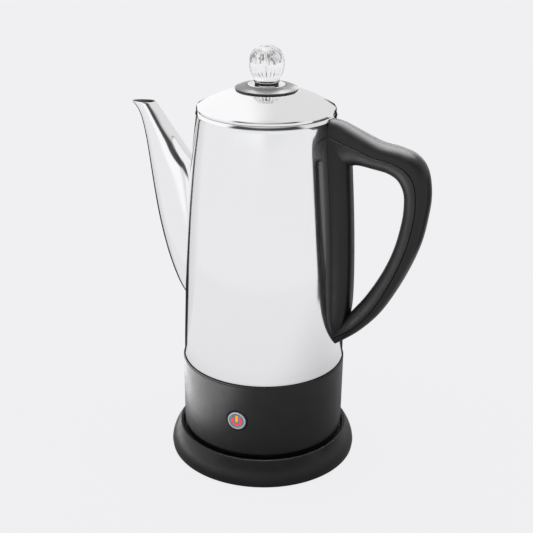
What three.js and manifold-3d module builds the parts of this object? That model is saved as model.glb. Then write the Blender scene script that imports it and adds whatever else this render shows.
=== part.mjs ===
// An electric coffee percolator on a cordless power base: vessel, spout, handle, heater collar,
// lid with a clear knob, and the brewing parts inside. Millimetres, +Z up. The jug's axis is the
// reference for every radius; the handle points along +X and the spout along -X.
import * as THREE from "three";
import { mergeVertices } from "three/addons/utils/BufferGeometryUtils.js";
import Module from "manifold-3d";

const wasm = await Module();
wasm.setup();

// Driving dimensions.
const BASE_RADIUS = 76;
const LIP_RADIUS = 68.3;
const LIP_TOP = 19.4;
const WELL_FLOOR = 15.2;
const COLLAR_RADIUS = 65.4;
const COLLAR_BOTTOM = 22.6;
const COLLAR_TOP = 82.4;
const VESSEL_FOOT_RADIUS = 62.4;
const VESSEL_FOOT = 79;
const VESSEL_RIM = 280;
const BEAD_RADIUS = 53.4;
const BEAD_BOTTOM = 280.6;
const BEAD_TOP = 283.5;
const RIM_RADIUS = 52.7;
const WALL = 1;
const LID_RADIUS = 52.7;
const LID_BOTTOM = 283.8;
const LID_CREASE = 286.5;
const DOME_RADIUS = 95.6;
const RING_RADIUS = 23.8;
const SEAT_RADIUS = 14.6;
const KNOB_RADIUS = 13.3;
const KNOB_TOP = 331;
const HANDLE_REACH = 132.2;
const SPOUT_REACH = 119.4;
const HANDLE_HALF_WIDTH = 10;
const SHELL_WALL = 2.4;
const TABLE = -2.1; // the table's height; other heights are measured from just above it
const BUTTON_HEIGHT = 51.5;
const BUTTON_ANGLE = 8.3; // degrees from -Y towards the handle
const BUTTON_RADIUS = 7.4;
const STEM_RADIUS = 4;
const STEM_TOP = 289;
const BASKET_RADIUS = 44;
const BASKET_BOTTOM = 226;
const BASKET_RIM = 272;
const GAP = 0.3; // clearance between pieces that meet

const ROUND = 32; // sides of the large turned pieces
const MEDIUM = 16;
const SMALL = 10;

// ---- Solids ----

// Closed geometry with merged corners, no collapsed faces, and its faces turned outwards.
function tidy(geometry) {
  const source = geometry.index ? geometry.toNonIndexed() : geometry.clone();
  const bare = new THREE.BufferGeometry();
  bare.setAttribute("position", source.getAttribute("position"));
  const merged = mergeVertices(bare, 1e-3);
  const position = merged.attributes.position;
  const faces = [];
  let volume = 0;
  const a = new THREE.Vector3();
  const b = new THREE.Vector3();
  const c = new THREE.Vector3();
  for (let i = 0; i < merged.index.count; i += 3) {
    const [p, q, r] = [0, 1, 2].map((k) => merged.index.getX(i + k));
    if (p === q || q === r || p === r) continue;
    faces.push(p, q, r);
    a.fromBufferAttribute(position, p);
    b.fromBufferAttribute(position, q);
    c.fromBufferAttribute(position, r);
    volume += a.dot(b.cross(c));
  }
  if (volume < 0) faces.reverse();
  merged.setIndex(faces);
  return merged;
}

function solid(geometry) {
  const g = tidy(geometry);
  return new wasm.Manifold(
    new wasm.Mesh({
      numProp: 3,
      vertProperties: new Float32Array(g.attributes.position.array),
      triVerts: new Uint32Array(g.index.array),
    }),
  );
}

function geometryOf(body) {
  const mesh = body.getMesh();
  const g = new THREE.BufferGeometry();
  g.setAttribute("position", new THREE.BufferAttribute(mesh.vertProperties, 3));
  g.setIndex(new THREE.BufferAttribute(mesh.triVerts, 1));
  g.computeVertexNormals();
  return g;
}

const join = (first, ...rest) => rest.reduce((sum, s) => sum.add(s), first);
const cut = (first, ...rest) => rest.reduce((left, s) => left.subtract(s), first);

// A turned piece from [radius, height] points. The outline closes on itself, or on the axis.
function turned(points, sides = MEDIUM) {
  const outline = points.map(([r, z]) => new THREE.Vector2(r, z));
  const [first, last] = [points[0], points[points.length - 1]];
  if (first[0] > 0 || last[0] > 0) outline.push(outline[0].clone());
  return solid(new THREE.LatheGeometry(outline, sides).rotateX(Math.PI / 2));
}

// A flat ring with a rectangular section.
function ring(inner, outer, bottom, top, sides = MEDIUM) {
  if (inner === 0) {
    return turned([[0, bottom], [outer, bottom], [outer, top], [0, top]], sides);
  }
  return turned([[inner, bottom], [outer, bottom], [outer, top], [inner, top]], sides);
}

function box([x0, x1], [y0, y1], [z0, z1]) {
  const g = new THREE.BoxGeometry(x1 - x0, y1 - y0, z1 - z0);
  return solid(g.translate((x0 + x1) / 2, (y0 + y1) / 2, (z0 + z1) / 2));
}

// A round bar between two points.
function bar(from, to, radius, sides = SMALL) {
  const [start, end] = [new THREE.Vector3(...from), new THREE.Vector3(...to)];
  const along = end.clone().sub(start);
  const g = new THREE.CylinderGeometry(radius, radius, along.length(), sides);
  const turn = new THREE.Quaternion().setFromUnitVectors(
    new THREE.Vector3(0, 1, 0),
    along.clone().normalize(),
  );
  g.applyQuaternion(turn);
  const middle = start.add(end).multiplyScalar(0.5);
  return solid(g.translate(middle.x, middle.y, middle.z));
}

// A round wire along a smooth path through the points.
function wire(points, radius, steps, sides = 6) {
  const path = new THREE.CatmullRomCurve3(points.map((p) => new THREE.Vector3(...p)));
  const section = new THREE.Shape();
  for (let i = 0; i < sides; i += 1) {
    const turn = (2 * Math.PI * i) / sides;
    section[i ? "lineTo" : "moveTo"](radius * Math.cos(turn), radius * Math.sin(turn));
  }
  section.closePath();
  const options = { steps, bevelEnabled: false, extrudePath: path };
  return solid(new THREE.ExtrudeGeometry(section, options));
}

// A closed body through rings of corners, capped by triangulating the two end outlines.
function loft(rings, startOutline, endOutline) {
  const count = rings[0].length;
  const corners = rings.flat();
  const faces = [];
  for (let i = 0; i + 1 < rings.length; i += 1) {
    for (let k = 0; k < count; k += 1) {
      const next = (k + 1) % count;
      const [a, b] = [i * count + k, i * count + next];
      const [c, d] = [a + count, b + count];
      faces.push(a, b, d, a, d, c);
    }
  }
  const last = (rings.length - 1) * count;
  const cap = (outline, offset, flipped) => {
    const flat = outline.map(([u, v]) => new THREE.Vector2(u, v));
    const clockwise = THREE.ShapeUtils.area(flat) < 0;
    for (const [p, q, r] of THREE.ShapeUtils.triangulateShape(flat, [])) {
      const turn = clockwise !== flipped ? [p, q, r] : [r, q, p];
      faces.push(...turn.map((n) => n + offset));
    }
  };
  cap(startOutline, 0, false);
  cap(endOutline, last, true);
  const g = new THREE.BufferGeometry();
  g.setAttribute("position", new THREE.Float32BufferAttribute(corners.flat(), 3));
  g.setIndex(faces);
  return solid(consistent(g));
}

// Turns the caps to agree with the sides, whichever way the rings were listed.
function consistent(geometry) {
  const index = Array.from(geometry.index.array);
  const edges = new Map();
  const faces = [];
  for (let i = 0; i < index.length; i += 3) faces.push(index.slice(i, i + 3));
  faces.forEach((face, n) => {
    for (let k = 0; k < 3; k += 1) {
      const pair = [face[k], face[(k + 1) % 3]];
      const key = [...pair].sort((p, q) => p - q).join();
      if (!edges.has(key)) edges.set(key, []);
      edges.get(key).push([n, pair[0] < pair[1]]);
    }
  });
  const flips = new Array(faces.length).fill(null);
  const queue = [0];
  flips[0] = false;
  while (queue.length) {
    const n = queue.pop();
    for (let k = 0; k < 3; k += 1) {
      const pair = [faces[n][k], faces[n][(k + 1) % 3]];
      const key = [...pair].sort((p, q) => p - q).join();
      const forward = pair[0] < pair[1];
      for (const [other, way] of edges.get(key)) {
        if (other === n || flips[other] !== null) continue;
        flips[other] = way === forward ? !flips[n] : flips[n];
        queue.push(other);
      }
    }
  }
  const turnedFaces = faces.flatMap((face, n) => (flips[n] ? [...face].reverse() : face));
  return geometry.setIndex(turnedFaces);
}

// ---- The object ----

const percolator = new THREE.Group();
// The origin is on the table, under the middle of the overall length.
percolator.position.set((SPOUT_REACH - HANDLE_REACH) / 2, 0, -TABLE);

const paint = (color, roughness, metalness) => ({ color, roughness, metalness });
const STEEL = paint(0xd6d7da, 0.18, 1);
const DULL_STEEL = paint(0xb4b6b9, 0.4, 1);
const ALUMINIUM = paint(0xc2c4c6, 0.45, 1);
const BRASS = paint(0xc9a25a, 0.35, 1);
const BLACK = paint(0x26272a, 0.5, 0);
const DARK = paint(0x18191b, 0.7, 0);
const RUBBER = paint(0x141414, 0.9, 0);
const SILICONE = paint(0x2c2d30, 0.8, 0);
const CLEAR = { ...paint(0xf4f6f8, 0.05, 0), transparent: true, opacity: 0.35 };
const SILVER = paint(0xc6c9d0, 0.3, 0.6);
const LENS = paint(0x8f97ab, 0.35, 0);
const CREAM = paint(0xe4dfd2, 0.6, 0);

function piece(name, body, finish) {
  const mesh = new THREE.Mesh(geometryOf(body), new THREE.MeshStandardMaterial(finish));
  mesh.name = name;
  percolator.add(mesh);
}

// A cosine or sine bent towards a square: power 2 leaves a circle, and more squares it.
const bent = (value, power) => Math.sign(value) * Math.abs(value) ** (2 / power);

const degrees = (angle) => THREE.MathUtils.degToRad(angle);
const around = (radius, angle, z) => [
  radius * Math.cos(degrees(angle)),
  radius * Math.sin(degrees(angle)),
  z,
];

// ---- Power base ----

const SKIRT_BOTTOM = TABLE + 1.2;
const PLATE_BOTTOM = TABLE + 1.5;
const PLATE_TOP = TABLE + 3.1;
const SHELL_UNDERSIDE = 12.8;
const HUB_RADIUS = 14.4;
const SCREW_CIRCLE = 48;
const FOOT_CIRCLE = 62;
const INLET_HEIGHT = 8;
const screwAngles = [0, 120, 240];
const footAngles = [45, 135, 225, 315];

function baseShell() {
  const skirt = turned(
    [
      [BASE_RADIUS, SKIRT_BOTTOM],
      [BASE_RADIUS, 2.6],
      [75.2, 7],
      [73.2, 12],
      [70.4, 17.4],
      [LIP_RADIUS, LIP_TOP],
      [66.9, LIP_TOP - 1],
      [66.7, WELL_FLOOR],
      [HUB_RADIUS + 0.8, WELL_FLOOR],
      [HUB_RADIUS + 0.8, SHELL_UNDERSIDE],
      [70, SHELL_UNDERSIDE],
      [73.7, SKIRT_BOTTOM],
    ],
    ROUND,
  );
  const bosses = screwAngles.map((angle) =>
    bar(around(SCREW_CIRCLE, angle, 2.1), around(SCREW_CIRCLE, angle, SHELL_UNDERSIDE + 1), 4),
  );
  const holes = screwAngles.map((angle) =>
    bar(around(SCREW_CIRCLE, angle, 1.2), around(SCREW_CIRCLE, angle, 10), 1.9),
  );
  const inlet = bar([0, 60, INLET_HEIGHT], [0, 80, INLET_HEIGHT], 4.5);
  return cut(join(skirt, ...bosses), ...holes, inlet);
}

function basePlate() {
  const plate = ring(0, 72.4, PLATE_BOTTOM, PLATE_TOP, ROUND);
  const holes = screwAngles
    .map((angle) => [SCREW_CIRCLE, angle, 2.2])
    .concat(footAngles.map((angle) => [FOOT_CIRCLE, angle, 2.7]))
    .map(([r, angle, size]) => bar(around(r, angle, TABLE), around(r, angle, TABLE + 5), size));
  return cut(plate, ...holes);
}

function baseFoot(angle) {
  const outline = [[0, 0], [6.5, 0], [6.5, 1.2], [2.3, 1.2], [2.3, 3.4], [3.4, 3.4], [1.6, 6], [0, 6]];
  return turned(outline, MEDIUM).translate(around(FOOT_CIRCLE, angle, TABLE));
}

function baseScrew(angle) {
  const outline = [[0, 0.4], [3.2, 0.4], [3.2, 1.2], [1.6, 1.2], [1.6, 11], [0, 11]];
  return turned(outline, SMALL).translate(around(SCREW_CIRCLE, angle, TABLE));
}

function baseConnector() {
  return turned(
    [
      [22, PLATE_TOP + GAP],
      [22, PLATE_TOP + 2.3],
      [HUB_RADIUS, PLATE_TOP + 2.3],
      [HUB_RADIUS, 25],
      [13.4, 26],
      [12.6, 26],
      [12.6, 12],
      [9.8, 12],
      [9.8, 26],
      [8.2, 26],
      [8.2, 12],
      [4.8, 12],
      [4.8, 26],
      [2.2, 26],
      [2.2, PLATE_TOP + GAP],
    ],
    MEDIUM,
  );
}

function cordGland() {
  const along = (from, to, radius) => bar([0, from, INLET_HEIGHT], [0, to, INLET_HEIGHT], radius);
  return cut(join(along(61, 75, 4.1), along(61, 63, 4.6)), along(55, 80, 2.9));
}

piece("base_shell", baseShell(), BLACK);
piece("base_bottom_plate", basePlate(), DARK);
footAngles.forEach((angle, i) => piece(`base_foot_${i + 1}`, baseFoot(angle), RUBBER));
screwAngles.forEach((angle, i) => piece(`base_screw_${i + 1}`, baseScrew(angle), DULL_STEEL));
piece("base_connector", baseConnector(), DARK);
piece("base_contact_inner", ring(5.2, 6.2, 12.3, 22), BRASS);
piece("base_contact_outer", ring(10.2, 11.2, 12.3, 22), BRASS);
piece("cord_gland", cordGland(), RUBBER);

// ---- Jug's half of the connector ----

const COVER_BOTTOM = WELL_FLOOR + GAP;
const COVER_TOP = COVER_BOTTOM + 2;
const COUPLER_RADIUS = 19;

function jugCoupler() {
  const cup = turned(
    [
      [HUB_RADIUS + 0.7, COVER_BOTTOM],
      [COUPLER_RADIUS, COVER_BOTTOM],
      [COUPLER_RADIUS, COVER_TOP + GAP],
      [22, COVER_TOP + GAP],
      [22, COVER_TOP + 2.3],
      [COUPLER_RADIUS, COVER_TOP + 2.3],
      [COUPLER_RADIUS, 34],
      [0, 34],
      [0, 29],
      [HUB_RADIUS + 0.7, 29],
    ],
    MEDIUM,
  );
  const pinHole = bar([0, 0, 27], [0, 0, 36], 2);
  const neutralHole = box([6.3, 8.3], [-2.3, 2.3], [27, 36]);
  const earthHole = box([-12.6, -11.1], [-2.3, 2.3], [27, 36]);
  return cut(cup, pinHole, neutralHole, earthHole);
}

piece("jug_coupler", jugCoupler(), DARK);
piece("coupler_centre_pin", bar([0, 0, 14], [0, 0, 38], 1.6), BRASS);
piece("coupler_neutral_blade", box([6.6, 7.6], [-1.6, 1.6], [15, 38]), BRASS);
piece("coupler_earth_blade", box([-12.1, -11.4], [-1.6, 1.6], [15, 38]), BRASS);

// ---- Heater collar ----

const COLLAR_WALL = 2.2;
const COLLAR_INSIDE = COLLAR_RADIUS - COLLAR_WALL;
const LEDGE_TOP = 76.9;
const buttonAxis = new THREE.Vector3(
  Math.sin(degrees(BUTTON_ANGLE)),
  -Math.cos(degrees(BUTTON_ANGLE)),
  0,
);
// A point on the button's axis, at a distance from the jug's axis.
const onButton = (distance, lift = 0, aside = 0) => [
  buttonAxis.x * distance - buttonAxis.y * aside,
  buttonAxis.y * distance + buttonAxis.x * aside,
  BUTTON_HEIGHT + lift,
];
const buttonBar = (from, to, radius, sides = MEDIUM) =>
  bar(onButton(from), onButton(to), radius, sides);

function collarHousing() {
  const shell = turned(
    [
      [62.6, COVER_BOTTOM],
      [62.6, 21.2],
      [COLLAR_RADIUS - 0.4, COLLAR_BOTTOM],
      [COLLAR_RADIUS - 0.2, 40],
      [COLLAR_RADIUS, COLLAR_TOP - 1],
      [COLLAR_RADIUS - 0.6, COLLAR_TOP],
      [COLLAR_RADIUS - 1.2, COLLAR_TOP - 0.3],
      [COLLAR_RADIUS - 1.2, 81],
      [COLLAR_INSIDE, 81],
      [COLLAR_INSIDE, LEDGE_TOP],
      [58, LEDGE_TOP],
      [58, LEDGE_TOP - 2],
      [COLLAR_INSIDE - 0.8, LEDGE_TOP - 2],
      [COLLAR_INSIDE - 0.8, COLLAR_BOTTOM],
      [60.4, 21.2],
      [60.4, COVER_BOTTOM],
    ],
    ROUND,
  );
  return cut(shell, buttonBar(55, 70, BUTTON_RADIUS + 1.6));
}

function heaterRing() {
  const turns = [];
  for (let angle = 110; angle <= 430; angle += 20) turns.push(around(38, angle, 69.6));
  return wire(turns, 3.2, 18, 6);
}

function switchModule() {
  const g = new THREE.BoxGeometry(24, 17, 20);
  g.rotateZ(degrees(BUTTON_ANGLE));
  const body = solid(g.translate(...onButton(44)));
  return cut(body, buttonBar(46, 60, 3.4, SMALL));
}

piece("collar_housing", collarHousing(), BLACK);
piece("collar_bottom_cover", ring(COUPLER_RADIUS + 0.5, 60, COVER_BOTTOM, COVER_TOP, ROUND), DARK);
piece("collar_seal", ring(58.4, 61.8, LEDGE_TOP + GAP, VESSEL_FOOT - GAP, MEDIUM * 1.5), SILICONE);
piece("heater_plate", ring(0, 50, 73.4, VESSEL_FOOT - GAP, ROUND), ALUMINIUM);
piece("heater_ring", heaterRing(), DULL_STEEL);
[110, 70].forEach((angle, i) => {
  const middle = around(38, angle, 0);
  const tab = box([-0.5, 0.5], [-3, 3], [56, 65.9]).translate([middle[0], middle[1], 0]);
  piece(`heater_terminal_${i + 1}`, tab, BRASS);
});
piece("brew_thermostat", ring(0, 9, 62, 73.1).translate([0, 14, 0]), CREAM);
piece("keep_warm_thermostat", ring(0, 8, 64, 73.1).translate([0, -12, 0]), DARK);
piece("thermal_fuse", bar([-26, -6, 67], [-26, 8, 67], 3), CREAM);
piece("switch_module", switchModule(), DARK);
const leadTop = 54;
piece(
  "lead_live",
  wire([[-13, 35.7, leadTop], [-30, 28, 50], [-42, 0, 48], [-30, -30, 50], [-9, -42, 52]], 1.4, 12, 5),
  DARK,
);
piece(
  "lead_neutral",
  wire([[13, 35.7, leadTop], [30, 28, 50], [44, 0, 48], [38, -26, 50], [21.5, -38, 52]], 1.4, 12, 5),
  CREAM,
);

// ---- Power button ----

const BUTTON_FACE = 66;

function buttonBezel() {
  const outer = buttonBar(61.6, COLLAR_RADIUS + 0.3, BUTTON_RADIUS + 1.3);
  return cut(outer, buttonBar(60, 70, BUTTON_RADIUS + 0.4));
}

function powerButton() {
  const cap = buttonBar(60, BUTTON_FACE, BUTTON_RADIUS);
  const pocket = buttonBar(BUTTON_FACE - 1.3, BUTTON_FACE + 2, BUTTON_RADIUS - 1.7);
  const plunger = buttonBar(55, 61, 2.4, SMALL);
  return join(cut(cap, pocket), plunger);
}

// A disc with a raised ring, open at the top, and a bar in the opening.
function buttonLens() {
  const disc = buttonBar(BUTTON_FACE - 1, BUTTON_FACE - 0.4, BUTTON_RADIUS - 2);
  const symbol = new THREE.Shape();
  const opening = degrees(32);
  symbol.absarc(0, 0, 3.6, Math.PI / 2 + opening, Math.PI / 2 - opening + 2 * Math.PI);
  symbol.absarc(0, 0, 2.6, Math.PI / 2 - opening, Math.PI / 2 + opening - 2 * Math.PI, true);
  const options = { depth: 0.6, bevelEnabled: false, curveSegments: 14 };
  const frame = new THREE.Matrix4().makeBasis(
    new THREE.Vector3(-buttonAxis.y, buttonAxis.x, 0),
    new THREE.Vector3(0, 0, 1),
    buttonAxis,
  );
  frame.setPosition(...onButton(BUTTON_FACE - 0.7));
  const arc = solid(new THREE.ExtrudeGeometry(symbol, options).applyMatrix4(frame));
  const stroke = new THREE.BoxGeometry(1, 3.6, 0.6).translate(0, 2.5, 0.3);
  return join(disc, arc, solid(stroke.applyMatrix4(frame)));
}

function buttonSpring() {
  const coils = 3;
  const points = [];
  for (let i = 0; i <= coils * 8; i += 1) {
    const turn = (Math.PI * i) / 4;
    points.push(onButton(49.4 + i * 0.21, 2 * Math.sin(turn), 2 * Math.cos(turn)));
  }
  return wire(points, 0.4, coils * 8, 4);
}

piece("button_bezel", buttonBezel(), DARK);
piece("power_button", powerButton(), SILVER);
piece("button_lens", buttonLens(), LENS);
piece("button_spring", buttonSpring(), DULL_STEEL);

// ---- Vessel and spout ----

// The vessel's outer radius, slightly barrelled, from the collar to the rim.
const VESSEL_PROFILE = new THREE.SplineCurve(
  [
    [64.4, 83],
    [64.2, 98],
    [63.2, 130],
    [62.2, 165],
    [60.3, 203],
    [57.6, 240],
    [54.7, 262],
    [RIM_RADIUS, VESSEL_RIM],
  ].map(([r, z]) => new THREE.Vector2(r, z)),
);
function vesselOutline(grow, steps = 7) {
  return VESSEL_PROFILE.getPoints(steps).map((p) => [p.x + grow, p.y]);
}

// The vessel as a full solid, grown by a clearance, for trimming what is fixed on it.
function vesselEnvelope(clearance) {
  const side = vesselOutline(clearance);
  const bead = BEAD_RADIUS + clearance;
  return turned(
    [[0, 70], [side[0][0], 70], ...side, [bead, BEAD_BOTTOM], [bead, 300], [0, 300]],
    ROUND,
  );
}

// The rolled rim, from its outer side over the top.
const RIM_BEAD = [
  [BEAD_RADIUS - 0.2, BEAD_BOTTOM],
  [BEAD_RADIUS, 282],
  [BEAD_RADIUS - 0.3, BEAD_TOP - 0.4],
  [BEAD_RADIUS - 0.9, BEAD_TOP],
  [BEAD_RADIUS - 1.6, BEAD_TOP - 0.3],
];

const FLOOR_TOP = VESSEL_FOOT + WALL;
const STRAINER_HOLES = [
  [0, 205],
  [-7, 197],
  [7, 197],
  [0, 189],
  [-7, 181],
  [7, 181],
  [0, 173],
];

function vessel() {
  const outside = vesselOutline(0);
  const inside = vesselOutline(-WALL).reverse();
  const shell = turned(
    [
      [0, VESSEL_FOOT],
      [VESSEL_FOOT_RADIUS, VESSEL_FOOT],
      [VESSEL_FOOT_RADIUS, 82.6],
      ...outside,
      ...RIM_BEAD,
      ...inside,
      [VESSEL_FOOT_RADIUS - WALL, 82],
      [VESSEL_FOOT_RADIUS - WALL, FLOOR_TOP],
      [0, FLOOR_TOP],
    ],
    ROUND,
  );
  const holes = STRAINER_HOLES.map(([y, z]) => bar([-70, y, z], [-50, y, z], 2.6, 6));
  return cut(shell, ...holes);
}

// Horizontal sections of the spout: [height, keel, ridge, half-width], as distances from the axis.
const SPOUT_TOP = 277.4;
const SPOUT_SECTIONS = [
  [114, 60, 44, 9],
  [122, 68.4, 42, 16],
  [134, 77, 42, 20],
  [155, 86.3, 46, 20.5],
  [180, 94.2, 50, 18.6],
  [205, 99.6, 55, 16],
  [230, 103.8, 62.6, 13],
  [248, 106.8, 75.2, 10.2],
  [264, 110.6, 88.4, 8],
  [272, 114.6, 94.6, 6.7],
  [SPOUT_TOP, SPOUT_REACH, 98.8, 5.9],
];
const SPOUT_CORNERS = 18;

// One egg-shaped section, narrower towards the keel.
function spoutRing([z, keel, ridge, halfWidth], inset) {
  const middle = (keel + ridge) / 2;
  const reach = (keel - ridge) / 2 - inset;
  const width = halfWidth - inset;
  return Array.from({ length: SPOUT_CORNERS }, (_, i) => {
    const turn = (2 * Math.PI * i) / SPOUT_CORNERS;
    const taper = 1 - 0.22 * Math.cos(turn);
    return [-(middle + reach * Math.cos(turn)), width * Math.sin(turn) * taper, z];
  });
}

function spoutSolid(inset) {
  const rings = SPOUT_SECTIONS.map((section) => spoutRing(section, inset));
  if (inset) {
    const top = rings[rings.length - 1];
    rings.push(top.map(([x, y]) => [x - inset, y, SPOUT_TOP + 2]));
  }
  const flat = (points) => points.map(([x, y]) => [x, y]);
  return loft(rings, flat(rings[0]), flat(rings[rings.length - 1]));
}

function spout() {
  return cut(spoutSolid(0), spoutSolid(WALL), vesselEnvelope(GAP));
}

piece("vessel", vessel(), STEEL);
piece("spout", spout(), STEEL);

// ---- Handle ----

// Stations round the loop, from inside the vessel's rim down to the tip: outer edge, inner edge,
// half-width, and the parting line's offset outwards as a share of the half-thickness.
const HANDLE_STATIONS = [
  [[50, 283.4], [54, 247], 7.8, 0.33],
  [[61, 282.6], [66, 248.5], 8.8, 0.17],
  [[72.2, 278.6], [76, 251], 9.6, 0.06],
  [[92, 271.1], [89, 250], HANDLE_HALF_WIDTH, 0.01],
  [[109, 268.4], [99.8, 248.4], HANDLE_HALF_WIDTH, 0],
  [[121.2, 264], [107.4, 244.4], HANDLE_HALF_WIDTH, 0.04],
  [[128.9, 254], [112, 236.8], HANDLE_HALF_WIDTH, 0.12],
  [[HANDLE_REACH, 238], [113.2, 227.6], HANDLE_HALF_WIDTH, 0.14],
  [[131.4, 221], [112.4, 214.2], HANDLE_HALF_WIDTH, 0.18],
  [[126.8, 196.4], [107.9, 193], HANDLE_HALF_WIDTH, 0.17],
  [[115.9, 168], [99.8, 172], HANDLE_HALF_WIDTH, 0.23],
  [[100.3, 139], [87.8, 150.4], HANDLE_HALF_WIDTH, 0.34],
  [[84, 119.7], [76, 134], 9.4, 0.38],
  [[67.6, 106], [66.5, 122], 6.4, 0.2],
  [[58, 99], [58, 114], 4, 0.2],
];
const HANDLE_STEPS = 24;
const SECTION_POWER = 2.4;
const ARC_STEPS = 6;

function handleStation(share) {
  const curve = (pick) =>
    new THREE.CatmullRomCurve3(
      HANDLE_STATIONS.map(pick).map(([x, z]) => new THREE.Vector3(x, 0, z)),
    ).getPoint(share);
  const outer = curve(([edge]) => edge);
  const inner = curve(([, edge]) => edge);
  const { x: width, z: seam } = curve(([, , half, offset]) => [half, offset]);
  return { outer, inner, width, seam };
}

// The corners of a station's section on one side of the parting line: side is +1 for the outer
// half and -1 for the inner. grow moves its wall out, and clearance moves the parting face.
function halfSection(station, side, grow, clearance) {
  const middle = station.outer.clone().add(station.inner).multiplyScalar(0.5);
  const across = station.outer.clone().sub(station.inner);
  const half = across.length() / 2 + grow;
  const width = station.width + grow;
  across.normalize();
  const face = station.seam * (half - grow) + side * clearance;
  const start = Math.acos(Math.sign(side * face) * Math.abs(face / half) ** (SECTION_POWER / 2));
  const corners = [];
  for (let i = 0; i <= ARC_STEPS; i += 1) {
    const turn = start - (2 * start * i) / ARC_STEPS;
    const u = side * half * bent(Math.cos(turn), SECTION_POWER);
    corners.push([u, width * bent(Math.sin(turn), SECTION_POWER)]);
  }
  return corners.map(([u, v]) => ({
    flat: [u, v],
    point: [middle.x + across.x * u, v, middle.z + across.z * u],
  }));
}

function handleLoft(side, section) {
  const rows = [];
  for (let i = 0; i <= HANDLE_STEPS; i += 1) {
    rows.push(section(handleStation(i / HANDLE_STEPS), side));
  }
  const points = (row) => row.map((corner) => corner.point);
  const flat = (row) => row.map((corner) => corner.flat);
  return loft(rows.map(points), flat(rows[0]), flat(rows[rows.length - 1]));
}

// Half of the loop as a moulded channel, open at the parting face.
const halfChannel = (side) =>
  handleLoft(side, (station) => [
    ...halfSection(station, side, 0, GAP / 2),
    ...halfSection(station, side, -SHELL_WALL, GAP / 2).reverse(),
  ]);

// Half of the loop, filled and grown by a clearance.
const halfBlock = (side, clearance) =>
  handleLoft(side, (station) => halfSection(station, side, clearance, GAP / 2 - clearance));

// The spine's horizontal sections: [height, half-width, front face].
const SPINE_SECTIONS = [
  [106, 1.2, 65.6],
  [109.5, 3.6, 67],
  [113.5, 6.2, 68.6],
  [120, 8.8, 71.2],
  [127, 9.9, 73.4],
  [141, 10.2, 75],
  [162, 10.2, 75.1],
  [188, 10.2, 74.2],
  [213, 10.1, 72.8],
  [240, 10, 70.8],
  [252, 9.5, 69.8],
  [262, 8.8, 68],
  [272, 7.4, 65],
  [278, 5, 61],
];
const SPINE_POWER = 3;
const SPINE_STEPS = 10;

function vesselRadius(z) {
  const side = VESSEL_PROFILE.getPoints(60);
  return side.find((point) => point.y >= Math.max(z, side[0].y)).x;
}

// A rounded front on straight flanks that run back into the vessel, where they are trimmed.
function spineRing([z, half, face]) {
  const back = Math.sqrt(vesselRadius(z) ** 2 - half * half) - 2;
  return Array.from({ length: SPINE_STEPS + 1 }, (_, i) => {
    const turn = (Math.PI * i) / SPINE_STEPS;
    const out = bent(Math.sin(turn), SPINE_POWER);
    return [back + (face - back) * out, half * bent(Math.cos(turn), SPINE_POWER), z];
  });
}

const BRACKETS = {
  upper: { z: 256, back: 57, front: 66 },
  lower: { z: 126, back: 64.6, front: 70.4 },
};
const SCREW_HEAD_REACH = { upper: 74.4, lower: 79 };

function spine() {
  const rings = SPINE_SECTIONS.map(spineRing);
  const flat = (points) => points.map(([x, y]) => [x, y]);
  return loft(rings, flat(rings[0]), flat(rings[rings.length - 1]));
}

function innerShell() {
  const whole = join(spine(), halfChannel(-1));
  const pockets = Object.entries(BRACKETS).flatMap(([place, { z, front }]) => [
    box([50, front + GAP], [-6.8, 6.8], [z - 6.3, z + 6.3]),
    bar([front - 1, 0, z], [SCREW_HEAD_REACH[place] + 4, 0, z], 2),
    bar([SCREW_HEAD_REACH[place] - 2.6, 0, z], [SCREW_HEAD_REACH[place] + 4, 0, z], 3.8),
  ]);
  return cut(whole, ...pockets, halfBlock(1, GAP), vesselEnvelope(GAP));
}

function outerShell() {
  return cut(halfChannel(1), vesselEnvelope(GAP), ring(0, LID_RADIUS + 2, 282, 300, ROUND));
}

function bracket({ z, back, front }) {
  const channel = cut(
    box([back, front], [-6.5, 6.5], [z - 6, z + 6]),
    box([back - 2, front - 1.6], [-4.9, 4.9], [z - 8, z + 8]),
  );
  return cut(channel, bar([back, 0, z], [front + 2, 0, z], 2));
}

function bracketScrew(place) {
  const { z, front } = BRACKETS[place];
  const head = SCREW_HEAD_REACH[place];
  return join(
    bar([front - 4, 0, z], [head - 2, 0, z], 1.6),
    bar([head - 2.2, 0, z], [head, 0, z], 3.3),
  );
}

piece("handle_inner_shell", innerShell(), BLACK);
piece("handle_outer_shell", outerShell(), BLACK);
Object.entries(BRACKETS).forEach(([place, size]) => {
  piece(`handle_bracket_${place}`, bracket(size), DULL_STEEL);
  piece(`handle_screw_${place}`, bracketScrew(place), DULL_STEEL);
});

// ---- Brewing parts ----

const FOOT_RIM = FLOOR_TOP + 0.6;

function pumpStem() {
  return ring(STEM_RADIUS - 1, STEM_RADIUS, 97, STEM_TOP, 16);
}

function pumpFoot() {
  const bell = turned(
    [
      [24, FOOT_RIM],
      [24, FOOT_RIM + 1.2],
      [13, 91],
      [6, 95.4],
      [5.4, 104],
      [STEM_RADIUS + GAP, 104],
      [STEM_RADIUS + GAP, 96.6],
      [2.4, 96.6],
      [2.4, 93.4],
      [12, 89.6],
      [22.6, FOOT_RIM + 0.8],
      [22.6, FOOT_RIM],
    ],
    MEDIUM,
  );
  const slots = [0, 60, 120].map((angle) =>
    box([-26, 26], [-2.5, 2.5], [FLOOR_TOP, FOOT_RIM + 1.4]).rotate([0, 0, angle]),
  );
  return cut(bell, ...slots);
}

// Circles of holes in the basket's floor and its cover: [radius, count].
const HOLE_CIRCLES = [[15, 6], [30, 10]];

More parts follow.
